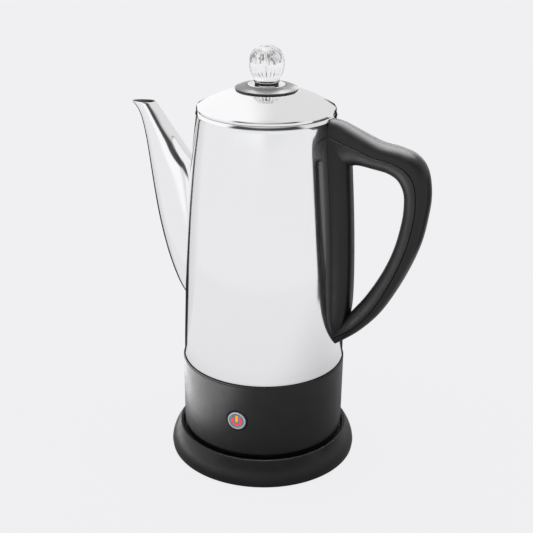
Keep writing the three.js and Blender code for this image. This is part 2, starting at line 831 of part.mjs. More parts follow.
function perforate(plate, circles, z, size = 2) {
  const holes = circles.flatMap(([radius, count]) =>
    Array.from({ length: count }, (_, i) => {
      const [x, y] = around(radius, (360 * i) / count, 0);
      return bar([x, y, z - 3], [x, y, z + 3], size, 6);
    }),
  );
  return cut(plate, ...holes);
}

const BASKET_TUBE = 6;
const BASKET_TUBE_TOP = 262;
const BASKET_FLANGE = 47;
const COVER_WELL = 42.6;
const COVER_FLOOR = 267.6;

function brewBasket() {
  const cup = turned(
    [
      [BASKET_TUBE + GAP, BASKET_BOTTOM],
      [BASKET_RADIUS - 3, BASKET_BOTTOM],
      [BASKET_RADIUS, BASKET_BOTTOM + 3],
      [BASKET_RADIUS + 0.6, BASKET_RIM - 0.8],
      [BASKET_FLANGE, BASKET_RIM - 0.8],
      [BASKET_FLANGE, BASKET_RIM],
      [BASKET_RADIUS - 0.4, BASKET_RIM],
      [BASKET_RADIUS - 1, BASKET_BOTTOM + 3.4],
      [BASKET_RADIUS - 3.4, BASKET_BOTTOM + 1],
      [BASKET_TUBE + GAP, BASKET_BOTTOM + 1],
    ],
    MEDIUM * 1.5,
  );
  return perforate(cup, HOLE_CIRCLES, BASKET_BOTTOM);
}

function basketCover() {
  const plate = turned(
    [
      [STEM_RADIUS + 0.5, COVER_FLOOR],
      [COVER_WELL, COVER_FLOOR],
      [COVER_WELL, BASKET_RIM + GAP],
      [BASKET_FLANGE - 0.6, BASKET_RIM + GAP],
      [BASKET_FLANGE - 0.6, BASKET_RIM + 1.2],
      [COVER_WELL - 1, BASKET_RIM + 1.2],
      [COVER_WELL - 1, COVER_FLOOR + 1],
      [STEM_RADIUS + 0.5, COVER_FLOOR + 1],
    ],
    MEDIUM * 1.5,
  );
  return perforate(plate, HOLE_CIRCLES, COVER_FLOOR);
}

piece("pump_stem", pumpStem(), DULL_STEEL);
piece("pump_foot", pumpFoot(), DULL_STEEL);
piece("basket_stop", ring(STEM_RADIUS + 0.2, 8, 222.4, BASKET_BOTTOM - GAP), DULL_STEEL);
piece("pump_valve", ring(1.5, 9, FLOOR_TOP + GAP, FLOOR_TOP + 1.1), DULL_STEEL);
piece("brew_basket", brewBasket(), ALUMINIUM);
piece("basket_tube", ring(BASKET_TUBE - 1, BASKET_TUBE, BASKET_BOTTOM, BASKET_TUBE_TOP), ALUMINIUM);
piece("basket_cover", basketCover(), ALUMINIUM);

// ---- Lid ----

const DOME_EDGE = 51.9;
const DOME_CENTRE = LID_CREASE - Math.sqrt(DOME_RADIUS ** 2 - DOME_EDGE ** 2);
const domeHeight = (r, inset = 0) => DOME_CENTRE + Math.sqrt((DOME_RADIUS - inset) ** 2 - r * r);
const KNOB_HOLE = 8.6;

function lidDome() {
  const steps = [DOME_EDGE, 46, 38, 30, 20, KNOB_HOLE];
  const outside = steps.map((r) => [r, domeHeight(r)]);
  const inside = [KNOB_HOLE, 20, 30, 38, 46, 50.8].map((r) => [r, domeHeight(r, WALL)]);
  return turned([[LID_RADIUS, LID_BOTTOM], ...outside, ...inside, [51.7, LID_BOTTOM]], ROUND);
}

function lidSkirt() {
  return turned(
    [
      [48.6, 266],
      [49.4, 266],
      [49.4, LID_BOTTOM],
      [51.3, LID_BOTTOM],
      [51.3, LID_BOTTOM + 0.8],
      [48.6, LID_BOTTOM + 0.8],
    ],
    ROUND,
  );
}

function knobRing() {
  return turned(
    [
      [RING_RADIUS, domeHeight(RING_RADIUS) + GAP],
      [RING_RADIUS, 300.2],
      [20, 301.7],
      [SEAT_RADIUS + 1, 302.8],
      [SEAT_RADIUS, 302.6],
      [SEAT_RADIUS, domeHeight(SEAT_RADIUS) + GAP],
    ],
    ROUND,
  );
}

function knobSeat() {
  return turned(
    [
      [KNOB_HOLE, 301.8],
      [SEAT_RADIUS - GAP, 301.8],
      [SEAT_RADIUS - GAP, 302.9],
      [13, 302.9],
      [11, 302.6],
      [KNOB_HOLE, 302.6],
    ],
    MEDIUM,
  );
}

const NECK_BOTTOM = 304.6;
const FLUTES = 16;

// The knob's outside: a neck, then a bulb with flutes that fade into the crown.
function clearKnob() {
  const profile = [
    [8, 294.6, 0],
    [8, NECK_BOTTOM, 0],
    [9.8, NECK_BOTTOM, 0],
    [9.7, 307, 0.1],
    [11.6, 310.4, 0.6],
    [13, 314.4, 0.8],
    [KNOB_RADIUS, 318.4, 0.8],
    [12.7, 323, 0.8],
    [10.8, 327, 0.6],
    [7.2, 329.8, 0.3],
    [3, KNOB_TOP, 0],
  ];
  const rings = profile.map(([r, z, depth]) =>
    Array.from({ length: FLUTES * 2 }, (_, i) => {
      const [x, y] = around(i % 2 ? r - depth : r, (180 * i) / FLUTES, z);
      return [x, y, z];
    }),
  );
  const flat = (points) => points.map(([x, y]) => [x, y]);
  const outside = loft(rings, flat(rings[0]), flat(rings[rings.length - 1]));
  const hollow = turned(
    [[0, 290], [6.6, 290], [6.6, 308], [9.4, 313], [10.2, 318], [9.2, 323], [5, 327], [0, 327.6]],
    MEDIUM,
  );
  return cut(outside, hollow);
}

piece("lid_dome", lidDome(), STEEL);
piece("lid_inner_skirt", lidSkirt(), DULL_STEEL);
piece("lid_gasket", ring(49.7, 51.4, 281.3, LID_BOTTOM - GAP, ROUND), SILICONE);
piece("knob_ring", knobRing(), BLACK);
piece("knob_seat", knobSeat(), STEEL);
piece("knob_retainer", ring(8.5, 13, 296, 299.2), DULL_STEEL);
piece("clear_knob", clearKnob(), CLEAR);
piece("knob_gasket", ring(8.3, 9.8, 302.9, NECK_BOTTOM - GAP), RUBBER);

export default percolator;
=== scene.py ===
"""An electric coffee percolator on its power base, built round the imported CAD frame.

Lengths are millimetres from the jug's axis and from a level just above the table. They turn into
metres when a mesh is made.
"""

import math

import bmesh
import bpy
from mathutils import Matrix, Vector


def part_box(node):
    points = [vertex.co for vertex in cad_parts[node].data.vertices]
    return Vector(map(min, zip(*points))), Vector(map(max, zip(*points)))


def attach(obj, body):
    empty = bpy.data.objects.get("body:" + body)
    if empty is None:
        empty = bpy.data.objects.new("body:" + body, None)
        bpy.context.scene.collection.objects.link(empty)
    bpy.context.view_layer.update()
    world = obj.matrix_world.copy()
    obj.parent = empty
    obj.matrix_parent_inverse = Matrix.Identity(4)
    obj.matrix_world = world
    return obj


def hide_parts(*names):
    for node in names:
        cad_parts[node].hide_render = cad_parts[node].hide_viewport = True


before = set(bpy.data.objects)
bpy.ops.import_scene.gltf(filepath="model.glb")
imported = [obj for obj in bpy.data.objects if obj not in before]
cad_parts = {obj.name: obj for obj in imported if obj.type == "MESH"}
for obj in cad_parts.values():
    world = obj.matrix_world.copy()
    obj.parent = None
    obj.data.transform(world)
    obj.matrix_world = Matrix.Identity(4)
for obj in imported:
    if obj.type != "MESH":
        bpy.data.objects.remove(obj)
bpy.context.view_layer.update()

MM = 0.001
SIDES = 160  # round pieces that show
FINE_SIDES = 192  # the body, collar and lid
SOME_SIDES = 128  # middling round pieces
FEW_SIDES = 64  # small and hidden round pieces
TABLE = -2.1  # the table's height


# ---- Sizes from the frame ----

def millimetres(node):
    """A node's lowest and highest corners, in millimetres from the jug's axis."""
    low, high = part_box(node)
    return (low - ORIGIN) / MM, (high - ORIGIN) / MM


def round_size(node):
    """A turned node's outer radius, bottom and top."""
    low, high = millimetres(node)
    return (high.y - low.y) / 2, low.z, high.z


def centre_of(node):
    """The middle of a node's box."""
    low, high = millimetres(node)
    return (low + high) / 2


ORIGIN = Vector((sum(corner.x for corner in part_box("base_shell")) / 2, 0, -TABLE * MM))
BASE_RADIUS, BASE_BOTTOM, LIP_TOP = round_size("base_shell")
COLLAR_RADIUS, COLLAR_FOOT, COLLAR_TOP = round_size("collar_housing")
VESSEL_FOOT, BEAD_TOP = round_size("vessel")[1:]
VESSEL_RIM = BEAD_TOP - 3.5
LID_RADIUS, LID_BOTTOM = round_size("lid_dome")[:2]
RING_RADIUS, RING_BOTTOM, RING_TOP = round_size("knob_ring")
SEAT_RADIUS, SEAT_BOTTOM, SEAT_TOP = round_size("knob_seat")
KNOB_RADIUS, KNOB_FOOT, KNOB_TOP = round_size("clear_knob")
SPOUT_TOP = millimetres("spout")[1].z
SPOUT_REACH = -millimetres("spout")[0].x
HANDLE_REACH = millimetres("handle_outer_shell")[1].x


# ---- Outlines ----

def smooth(points, steps):
    """A Catmull-Rom curve through the points, with steps pieces between each two."""
    points = [Vector(p) for p in points]
    first, last = points[0] * 2 - points[1], points[-1] * 2 - points[-2]
    line = [first, *points, last]
    out = []
    for i in range(1, len(line) - 2):
        a, b, c, d = line[i - 1:i + 3]
        for k in range(steps):
            t = k / steps
            out.append(
                0.5 * (2 * b + (c - a) * t + (2 * a - 5 * b + 4 * c - d) * t ** 2
                       + (3 * b - a - 3 * c + d) * t ** 3)
            )
    return out + [points[-1]]


def rounded(points, steps=5):
    """A closed outline of (radius, height, fillet) corners, with each fillet as an arc."""
    out = []
    for i, (r, z, *fillet) in enumerate(points):
        corner = Vector((r, z))
        if not fillet or not fillet[0]:
            out.append(corner)
            continue
        before = Vector(points[i - 1][:2]) - corner
        after = Vector(points[(i + 1) % len(points)][:2]) - corner
        half = before.angle(after) / 2
        reach = min(fillet[0] / math.tan(half), 0.49 * before.length, 0.49 * after.length)
        radius = reach * math.tan(half)
        middle = corner + (before.normalized() + after.normalized()).normalized() * (
            radius / math.sin(half)
        )
        start = corner + before.normalized() * reach - middle
        turn = (corner + after.normalized() * reach - middle).angle_signed(start)
        for k in range(steps + 1):
            out.append(middle + Matrix.Rotation(turn * k / steps, 2) @ start)
    return out


# ---- Meshes ----

def make(name, verts, faces, place=None):
    """A mesh object from millimetre corners, with its faces turned outwards."""
    mesh = bpy.data.meshes.new(name)
    move = Matrix.Translation(ORIGIN) @ Matrix.Scale(MM, 4)
    if place is not None:
        move = move @ place
    mesh.from_pydata([move @ Vector(v) for v in verts], [], faces)
    work = bmesh.new()
    work.from_mesh(mesh)
    bmesh.ops.remove_doubles(work, verts=work.verts, dist=1e-7)
    bmesh.ops.recalc_face_normals(work, faces=work.faces)
    work.to_mesh(mesh)
    work.free()
    obj = bpy.data.objects.new(name, mesh)
    bpy.context.scene.collection.objects.link(obj)
    return obj


def spin(name, outline, sides=SIDES, place=None, shape=None):
    """Turns a (radius, height) outline round the axis. It closes on itself, or starts and ends on
    the axis. shape(radius, height, angle) may change the radius round the turn."""
    outline = [Vector(p[:2]) for p in outline]
    open_line = abs(outline[0].x) < 1e-6 and abs(outline[-1].x) < 1e-6
    verts, rows = [], []
    for r, z in outline:
        if abs(r) < 1e-6:
            rows.append([len(verts)] * sides)
            verts.append((0, 0, z))
            continue
        rows.append(range(len(verts), len(verts) + sides))
        for k in range(sides):
            angle = 2 * math.pi * k / sides
            reach = shape(r, z, angle) if shape else r
            verts.append((reach * math.cos(angle), reach * math.sin(angle), z))
    faces = []
    pairs = list(zip(rows, rows[1:]))
    if not open_line:
        pairs.append((rows[-1], rows[0]))
    for low, high in pairs:
        for k in range(sides):
            n = (k + 1) % sides
            corners = [low[k], low[n], high[n], high[k]]
            faces.append(list(dict.fromkeys(corners)))
    return make(name, verts, [f for f in faces if len(f) > 2], place)


def loft(name, rings, closed_ends=True, place=None):
    """A skin through rings of corners; the ends are closed, or the last ring meets the first."""
    count = len(rings[0])
    verts = [corner for row in rings for corner in row]
    faces = []
    for i in range(len(rings) - (1 if closed_ends else 0)):
        low, high = i * count, ((i + 1) % len(rings)) * count
        for k in range(count):
            n = (k + 1) % count
            faces.append([low + k, low + n, high + n, high + k])
    if closed_ends:
        faces.append(list(range(count))[::-1])
        faces.append([len(verts) - count + k for k in range(count)])
    return make(name, verts, faces, place)


def combine(obj, other, operation):
    """Joins or cuts obj with another mesh, which is used up."""
    step = obj.modifiers.new("combine", "BOOLEAN")
    step.operation = operation
    step.solver = "EXACT"
    step.object = other
    bpy.context.view_layer.update()
    done = bpy.data.meshes.new_from_object(obj.evaluated_get(bpy.context.evaluated_depsgraph_get()))
    obj.modifiers.clear()
    obj.data = done
    bpy.data.objects.remove(other)


def cut(obj, *cutters):
    for cutter in cutters:
        combine(obj, cutter, "DIFFERENCE")


BLACK_PIECES = bpy.data.collections.new("black_pieces")  # what the lamps light


def dress(obj, body, slot, nodes=(), material=None, sharp=32):
    """Shades a piece, gives it its material, and puts it on its body in place of CAD nodes."""
    material = material or MATERIALS[slot]
    obj.data.shade_smooth()
    obj.data.set_sharp_from_angle(angle=math.radians(sharp))
    if material not in list(obj.data.materials):
        obj.data.materials.clear()
        obj.data.materials.append(material)
    if slot == "black_plastic":
        BLACK_PIECES.objects.link(obj)
    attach(obj, body)
    if nodes:
        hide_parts(*nodes)


def turned(name, corners, body, slot, node, sides=SIDES, place=None, steps=5, material=None):
    """A finished piece in place of one node, turned from an outline and not cut."""
    dress(spin(name, rounded(corners, steps), sides, place), body, slot, [node], material)


def washer(name, bore, node, fillets, body, slot, sides=SIDES, inset=0.0, steps=4):
    """A plain ring as tall and wide as its node, with fillets on its bore and on its rim."""
    radius, bottom, top = round_size(node)
    edge, (inner, outer) = radius - inset, fillets
    outline = [(bore, bottom, inner), (edge, bottom, outer), (edge, top, outer), (bore, top, inner)]
    turned(name, outline, body, slot, node, sides, steps=steps)


def cylinder(start, end, radius, sides=48):
    """A plain round cutter between two points."""
    start, end = Vector(start), Vector(end)
    place = Matrix.Translation(start) @ (end - start).to_track_quat("Z", "Y").to_matrix().to_4x4()
    length = (end - start).length
    return spin("cutter", [(0, 0), (radius, 0), (radius, length), (0, length)], sides, place)


def block(low, high):
    """A plain box cutter between two corners."""
    outline = [(low[0], low[1]), (high[0], low[1]), (high[0], high[1]), (low[0], high[1])]
    return loft("cutter", [[(x, y, z) for x, y in outline] for z in (low[2], high[2])])


# ---- Materials ----

class Nodes:
    """Short ways to add shader nodes and to join them."""

    def __init__(self, tree):
        self.tree = tree

    def node(self, kind, **settings):
        """A node; what isn't one of its own settings is the value of a socket."""
        made = self.tree.nodes.new("ShaderNode" + kind)
        for name, value in settings.items():
            if hasattr(made, name):
                setattr(made, name, value)
            else:
                made.inputs[name.replace("_", " ")].default_value = value
        return made

    def link(self, out, into):
        self.tree.links.new(out, into)

    def compute(self, operation, *values):
        """The result of a sum on sockets and numbers."""
        made = self.node("Math", operation=operation)
        for socket, value in zip(made.inputs, values):
            if isinstance(value, (int, float)):
                socket.default_value = value
            else:
                self.link(value, socket)
        return made.outputs[0]

    def ramp(self, value, start, end, low=0.0, high=1.0, kind="LINEAR"):
        """Runs from low to high while a value runs from start to end."""
        made = self.node(
            "MapRange", interpolation_type=kind, From_Min=start, From_Max=end, To_Min=low, To_Max=high
        )
        self.link(value, made.inputs["Value"])
        return made.outputs["Result"]


class Paint(Nodes):
    """A Principled material with room for bump, roughness and colour detail."""

    def __init__(self, name, color, roughness, metallic=0.0, **sockets):
        self.material = bpy.data.materials.new(name)
        self.material.use_nodes = True
        super().__init__(self.material.node_tree)
        self.shader = self.tree.nodes["Principled BSDF"]
        self.shader.inputs["Base Color"].default_value = (*color, 1)
        self.shader.inputs["Roughness"].default_value = roughness
        self.shader.inputs["Metallic"].default_value = metallic
        for socket, value in sockets.items():
            self.shader.inputs[socket.replace("_", " ")].default_value = value

    def object_point(self, stretch=(1, 1, 1)):
        """Positions on the piece, in millimetres, stretched along the axes."""
        scale = self.node("VectorMath", operation="MULTIPLY")
        scale.inputs[1].default_value = [s / MM for s in stretch]
        self.link(self.node("TexCoord").outputs["Object"], scale.inputs[0])
        return scale.outputs[0]

    def noise(self, size, stretch=(1, 1, 1), detail=3.0):
        """Noise whose features are about size millimetres across."""
        made = self.node("TexNoise", Scale=1 / size, Detail=detail)
        self.link(self.object_point(stretch), made.inputs["Vector"])
        return made.outputs["Fac"]

    def grain(self, height, distance, strength):
        """Fine relief, up to a distance in millimetres."""
        made = self.node("Bump", Strength=strength, Distance=distance * MM)
        self.link(height, made.inputs["Height"])
        self.link(made.outputs["Normal"], self.shader.inputs["Normal"])

    def vary_roughness(self, source, low, high):
        self.link(self.ramp(source, 0.3, 0.7, low, high), self.shader.inputs["Roughness"])

    def vary_color(self, source, first, second, start=0.35, end=0.65, socket="Base Color"):
        ramp = self.node("ValToRGB")
        for stop, spot, color in zip(ramp.color_ramp.elements, (start, end), (first, second)):
            stop.position = spot
            stop.color = (*color, 1)
        self.link(source, ramp.inputs["Fac"])
        self.link(ramp.outputs["Color"], self.shader.inputs[socket])


EVEN = (1, 1, 1)


def surface(name, color, roughness, metallic=0.0, rough=None, tint=None, grain=None, **sockets):
    """A material with patches of roughness, patches of colour and fine relief. Each is given as
    the two limits, or the relief's distance and strength, and then its noise."""
    paint = Paint(name, color, roughness, metallic, **sockets)
    if rough:
        paint.vary_roughness(paint.noise(*rough[2:]), *rough[:2])
    if tint:
        paint.vary_color(paint.noise(*tint[2:]), *tint[:2])
    paint.grain(paint.noise(*grain[2:]), *grain[:2])
    return paint.material


def polished_steel():
    return surface(
        "polished_steel", (0.93, 0.93, 0.94), 0.1, 1.0,
        rough=(0.07, 0.13, 9, (1, 1, 0.25)), grain=(0.0015, 0.35, 0.35, (1, 1, 0.04)),
    )


def satin_steel():
    return surface(
        "satin_steel", (0.62, 0.63, 0.64), 0.3, 1.0,
        rough=(0.24, 0.36, 4, (1, 1, 0.2)), grain=(0.004, 0.5, 0.2, (1, 1, 0.1)),
    )


def spun_aluminium():
    return surface(
        "spun_aluminium", (0.76, 0.77, 0.78), 0.34, 1.0,
        rough=(0.28, 0.42, 3), grain=(0.006, 0.5, 0.25, (1, 1, 4)),
    )


def brass():
    return surface(
        "brass", (0.74, 0.55, 0.27), 0.25, 1.0,
        tint=((0.70, 0.50, 0.23), (0.80, 0.62, 0.33), 2), grain=(0.005, 0.4, 0.3),
    )


def black_plastic():
    return surface(
        "black_plastic", (0.006, 0.006, 0.0065), 0.38, rough=(0.34, 0.42, 7),
        tint=((0.005, 0.005, 0.0054), (0.007, 0.007, 0.0076), 14),
        grain=(0.012, 0.5, 0.22, EVEN, 2.0), Specular_IOR_Level=0.33,
    )


def dark_plastic():
    return surface(
        "dark_plastic", (0.010, 0.010, 0.011), 0.55, rough=(0.5, 0.62, 5), grain=(0.02, 0.5, 0.3)
    )


def rubber():
    return surface(
        "rubber", (0.012, 0.012, 0.012), 0.75, rough=(0.68, 0.85, 3), grain=(0.03, 0.6, 0.5)
    )


def silicone():
    return surface(
        "silicone", (0.03, 0.03, 0.033), 0.5, rough=(0.45, 0.6, 4), grain=(0.01, 0.4, 0.6)
    )


def cream_plastic():
    return surface(
        "cream_plastic", (0.72, 0.68, 0.58), 0.55,
        tint=((0.68, 0.64, 0.54), (0.76, 0.72, 0.62), 6), grain=(0.01, 0.5, 0.5),
    )


def button_silver():
    return surface(
        "button_silver", (0.60, 0.62, 0.66), 0.28, 0.75, rough=(0.24, 0.34, 2), grain=(0.004, 0.4, 0.3)
    )


def button_face():
    return surface(
        "button_face", (0.22, 0.25, 0.34), 0.3,
        tint=((0.20, 0.23, 0.32), (0.27, 0.30, 0.39), 3), grain=(0.004, 0.4, 0.4),
    )


def spout_inside_painted_shade():
    """The inside of the spout: rougher steel, darkened in colour as painted shade inside the tube."""
    return surface(
        "spout_inside_painted_shade", (0.22, 0.22, 0.225), 0.5, 1.0,
        rough=(0.45, 0.6, 4, (1, 1, 0.3)), grain=(0.01, 0.5, 0.4),
    )


def ring_plastic_painted_sheen():
    """Satin plastic with a stronger gloss, smoother than the handle's; its grey colour, lighter than the
    black plastic, is a painted sheen.
    """
    return surface(
        "ring_plastic_painted_sheen", (0.04, 0.04, 0.042), 0.33, 0.0, rough=(0.30, 0.37, 4),
        tint=((0.036, 0.036, 0.038), (0.045, 0.045, 0.047), 9), grain=(0.008, 0.4, 0.2, EVEN, 2.0),
        Specular_IOR_Level=0.5,
    )


def clear_plastic():
    """Clear, with faint flow lines and a band of dark streaks below the crown, painted into its colour as a
    painted reflection.
    """
    painted_band_depth, painted_band_core, painted_band_edge = 8, 1, 7
    paint = Paint(
        "clear_plastic", (1.0, 1.0, 1.0), 0.01, 0.0, Transmission_Weight=1.0, IOR=1.49
    )
    parts = paint.node("SeparateXYZ")
    paint.link(paint.object_point(), parts.inputs[0])
    # The band below the crown is darkened in colour: a painted reflection of dark streaks in the clear
    # plastic.
    offset = paint.compute("SUBTRACT", parts.outputs["Z"], KNOB_TOP - TABLE - painted_band_depth)
    clear = paint.ramp(paint.compute("ABSOLUTE", offset), painted_band_core, painted_band_edge)
    painted_reflection_streaks = paint.compute("MAXIMUM", paint.noise(2.4, (1, 1, 0.06), detail=1.0), clear)
    paint.vary_color(painted_reflection_streaks, (0.12, 0.12, 0.125), (1.0, 1.0, 1.0), 0.38, 0.5)
    paint.grain(paint.noise(5, (1, 1, 0.4), detail=1.0), 0.02, 0.3)
    return paint.material


def lit_symbol(name, glow):
    """Clear plastic over a lamp, with a slightly uneven glow."""
    paint = Paint(name, [0.6 * c for c in glow], 0.3, 0.0, Emission_Strength=0.9)
    paint.vary_color(paint.noise(1.6), [0.8 * c for c in glow], glow, 0, 1, "Emission Color")
    return paint.material


MATERIALS = {
    "polished_steel": polished_steel(),
    "plain_steel": satin_steel(),
    "aluminium": spun_aluminium(),
    "brass": brass(),
    "black_plastic": black_plastic(),
    "dark_plastic": dark_plastic(),
    "rubber": rubber(),
    "silicone": silicone(),
    "cream_plastic": cream_plastic(),
    "clear_plastic": clear_plastic(),
    "button_silver": button_silver(),
    "button_face": button_face(),
}


# ---- Power base ----

def base_shell():
    """The flared skirt, its rounded lip and the well that the jug stands in."""
    r, well, hub = BASE_RADIUS, LIP_TOP - 4.2, 15.2
    flare = smooth(
        [(r, 2.6), (r - 0.6, 6.2), (r - 2.1, 10.8), (r - 4.4, 15.2), (r - 6.6, LIP_TOP - 0.9)], 5
    )
    lip = rounded(
        [
            (*flare[-1], 0),
            (r - 7.7, LIP_TOP + 0.6, 2.2),
            (r - 10, LIP_TOP + 0.1, 1.4),
            (r - 10.1, well, 1),
            (hub, well, 0.8),
            (hub, well - 2.4, 0),
            (r - 6, well - 2.4, 1),
            (r - 2.3, BASE_BOTTOM, 0.3),
            (r - 0.1, BASE_BOTTOM, 0.9),
        ]
    )
    shell = spin("base_skirt", [*flare[:-1], *lip])
    inlet = centre_of("cord_gland").z
    cut(shell, cylinder((0, 60, inlet), (0, 90, inlet), 4.5))
    dress(shell, "power_base", "black_plastic", ["base_shell"])


FEET = [f"base_foot_{i}" for i in range(1, 5)]
SCREWS = [f"base_screw_{i}" for i in range(1, 4)]


def base_underside():
    """The plate under the base, with a raised ring and a hole for each foot and screw."""
    radius, bottom, top = round_size("base_bottom_plate")
    foot_hole, screw_hole = 2.7, 2.2
    ribs = [(0, bottom), (18, bottom, 0.3), (18.6, bottom + 0.5, 0.3), (20, bottom + 0.5, 0.3)]
    ribs += [(20.6, bottom, 0.3), (radius, bottom, 0.5), (radius, top, 0.3), (0, top)]
    plate = spin("base_underside", rounded(ribs), SIDES)
    for nodes, size in ((FEET, foot_hole), (SCREWS, screw_hole)):
        for node in nodes:
            x, y, _ = centre_of(node)
            hole = cylinder((x, y, TABLE), (x, y, TABLE + 5), size, 24)
            cut(plate, hole)
    dress(plate, "power_base", "dark_plastic", ["base_bottom_plate"])


def base_feet():
    """Rubber feet with a dished underside and a barb through the plate."""
    outline = [
        (0, 0.25), (4.3, 0.25, 0.2), (4.6, 0, 0.2), (6.5, 0, 0.5), (6.5, 1.2, 0.3),
        (2.3, 1.2, 0.1), (2.3, 3.4, 0.1), (3.4, 3.4, 0.3), (1.6, 6, 0.4), (0, 6),
    ]
    for i, node in enumerate(FEET, 1):
        x, y, _ = centre_of(node)
        place = Matrix.Translation((x, y, TABLE))
        turned(f"rubber_foot_{i}", outline, "power_base", "rubber", node, FEW_SIDES, place, 3)


def base_screws():
    """Cross-head screws."""
    head, shank, arm, half_slot, depth = 3.2, 1.6, 2, 0.35, 0.9
    outline = [
        (0, 0.4), (head, 0.4, 0.5), (head, 1.2, 0.1), (shank, 1.2, 0.1), (shank, 11, 0.5), (0, 11)
    ]
    for i, node in enumerate(SCREWS, 1):
        x, y, _ = centre_of(node)
        place = Matrix.Translation((x, y, TABLE))
        screw = spin(f"plate_screw_{i}", rounded(outline, 3), 32, place)
        slots = [
            block((x - across, y - along, TABLE), (x + across, y + along, TABLE + depth))
            for across, along in ((arm, half_slot), (half_slot, arm))
        ]
        cut(screw, *slots)
        dress(screw, "power_base", "plain_steel", [node])


def base_pillar():
    """The grooved connector pillar and its two contact rings."""
    low, high = millimetres("base_connector")
    top, bottom, floor_of_groove = high.z, low.z, 12
    outline = [
        (22, bottom), (22, bottom + 2, 0.4), (14.4, bottom + 2, 0.6), (14.4, top, 1.4),
        (12.6, top, 0.4), (12.6, floor_of_groove, 0.2), (9.8, floor_of_groove, 0.2),
        (9.8, top, 0.4), (8.2, top, 0.4), (8.2, floor_of_groove, 0.2),
        (4.8, floor_of_groove, 0.2), (4.8, top, 0.4), (2.2, top, 0.5), (2.2, bottom, 0),
    ]
    turned("connector_pillar", outline, "power_base", "dark_plastic", "base_connector",
           SOME_SIDES, steps=4)
    for which in ("inner", "outer"):
        node = f"base_contact_{which}"
        radius, bottom, top = round_size(node)
        bore = radius - 1
        outline = [(bore, bottom), (radius, bottom, 0.2), (radius, top, 0.4), (bore, top, 0.4)]
        turned(f"sprung_contact_{which}", outline, "power_base", "brass", node, FEW_SIDES, steps=3)


def inlet_grommet():
    """A ribbed rubber grommet for the mains cord, lying along +Y."""
    low, high = millimetres("cord_gland")
    length = high.y - low.y
    bore, flange, waist, groove, pitch = 2.9, 4.6, 4.1, 3.7, 1.2
    outline = [(bore, 0, 0), (flange, 0, 0.3), (flange, 2, 0.3), (waist, 2, 0.1)]
    for i in range(4):
        start = length - 5 + i * pitch
        outline += [(waist, start, 0.1), (groove, start + 0.3, 0.1), (groove, start + 0.6, 0.1),
                    (waist, start + 0.9, 0.1)]
    outline += [(waist, length, 0.6), (bore, length, 0.6)]
    lying = Matrix.Rotation(-math.pi / 2, 4, "X")
    place = Matrix.Translation((0, low.y, centre_of("cord_gland").z)) @ lying
    turned("inlet_grommet", outline, "power_base", "rubber", "cord_gland", FEW_SIDES, place, 3)


# ---- Jug's connector and collar ----

def jug_socket():
    """The jug's half of the connector, a round cup over the pillar."""
    low, high = millimetres("jug_coupler")
    bottom, top = low.z, high.z
    mouth, side, flange, pin = 15.1, 19, 22, 2
    outline = rounded(
        [
            (mouth, bottom, 0.5), (side, bottom, 0.5), (side, bottom + 2.3, 0.1),
            (flange, bottom + 2.3, 0.3), (flange, bottom + 4.3, 0.3), (side, bottom + 4.3, 0.1),
            (side, top, 0.6), (0, top), (0, top - 5), (mouth, top - 5, 0.6),
        ],
        4,
    )
    start = next(i for i, p in enumerate(outline) if p.x < 1e-6 and p.y < top - 1)
    cup = spin("connector_socket", outline[start:] + outline[:start], SOME_SIDES)
    holes = [
        cylinder((0, 0, 27), (0, 0, 36), pin, 24),
        block((6.3, -2.3, 27), (8.3, 2.3, 36)),
        block((-12.6, -2.3, 27), (-11.1, 2.3, 36)),
    ]
    cut(cup, *holes)
    dress(cup, "coupler", "dark_plastic", ["jug_coupler"])


def collar():
    """The black cylinder round the heater, with a stepped top edge and a hole for the button."""
    r, foot, top = COLLAR_RADIUS, COLLAR_FOOT, COLLAR_TOP
    inside = r - 2.2
    ledge, ledge_top = 74.9, 76.9
    outline = [
        (62.6, foot, 0.4),
        (62.6, 21.2, 0.8),
        (r - 0.4, 22.6, 0.7),
        (r - 0.2, 40, 0),
        (r, top - 1.5, 0.4),
        (r - 0.3, top - 1.1, 0.25),
        (r - 0.3, top, 0.35),
        (r - 0.9, top, 0.3),
        (r - 0.9, 81.4, 0.2),
        (inside, 81.2, 0.1),
        (inside, ledge_top, 0.4),
        (58, ledge_top, 0.4),
        (58, ledge, 0.4),
        (inside - 0.8, ledge, 0.4),
        (inside - 0.8, 22.6, 0.5),
        (60.4, 21.2, 0.4),
        (60.4, foot, 0.3),
    ]
    housing = spin("collar_shell", rounded(outline), FINE_SIDES)
    hole = [(0, 55), (BUTTON_RADIUS + 1.6, 55), (BUTTON_RADIUS + 1.6, 75), (0, 75)]
    cut(housing, spin("button_hole", hole, 72, button_place()))
    dress(housing, "jug", "black_plastic", ["collar_housing"])


def collar_underside():
    radius, bottom, top = round_size("collar_bottom_cover")
    outline = [
        (19.5, bottom, 0.3), (24, bottom, 0.3), (24.6, bottom + 0.5, 0.3), (53, bottom + 0.5, 0.3),
        (53.6, bottom, 0.3), (radius, bottom, 0.4), (radius, top, 0.3), (19.5, top, 0.3),
    ]
    turned("collar_underside", outline, "jug", "dark_plastic", "collar_bottom_cover", steps=3)


# ---- Power button ----

BUTTON_ANGLE = math.atan2(centre_of("button_bezel").x, -centre_of("button_bezel").y)
BUTTON_OUT = Vector((math.sin(BUTTON_ANGLE), -math.cos(BUTTON_ANGLE), 0))
BUTTON_HEIGHT = centre_of("power_button").z
BUTTON_RADIUS = (millimetres("power_button")[1].z - millimetres("power_button")[0].z) / 2
BUTTON_FACE = 66


def button_place():
    """A frame with Z out along the button's axis and Y up, on the jug's axis."""
    up = Vector((0, 0, 1))
    turn = Matrix((up.cross(BUTTON_OUT), up, BUTTON_OUT)).transposed().to_4x4()
    return Matrix.Translation((0, 0, BUTTON_HEIGHT)) @ turn


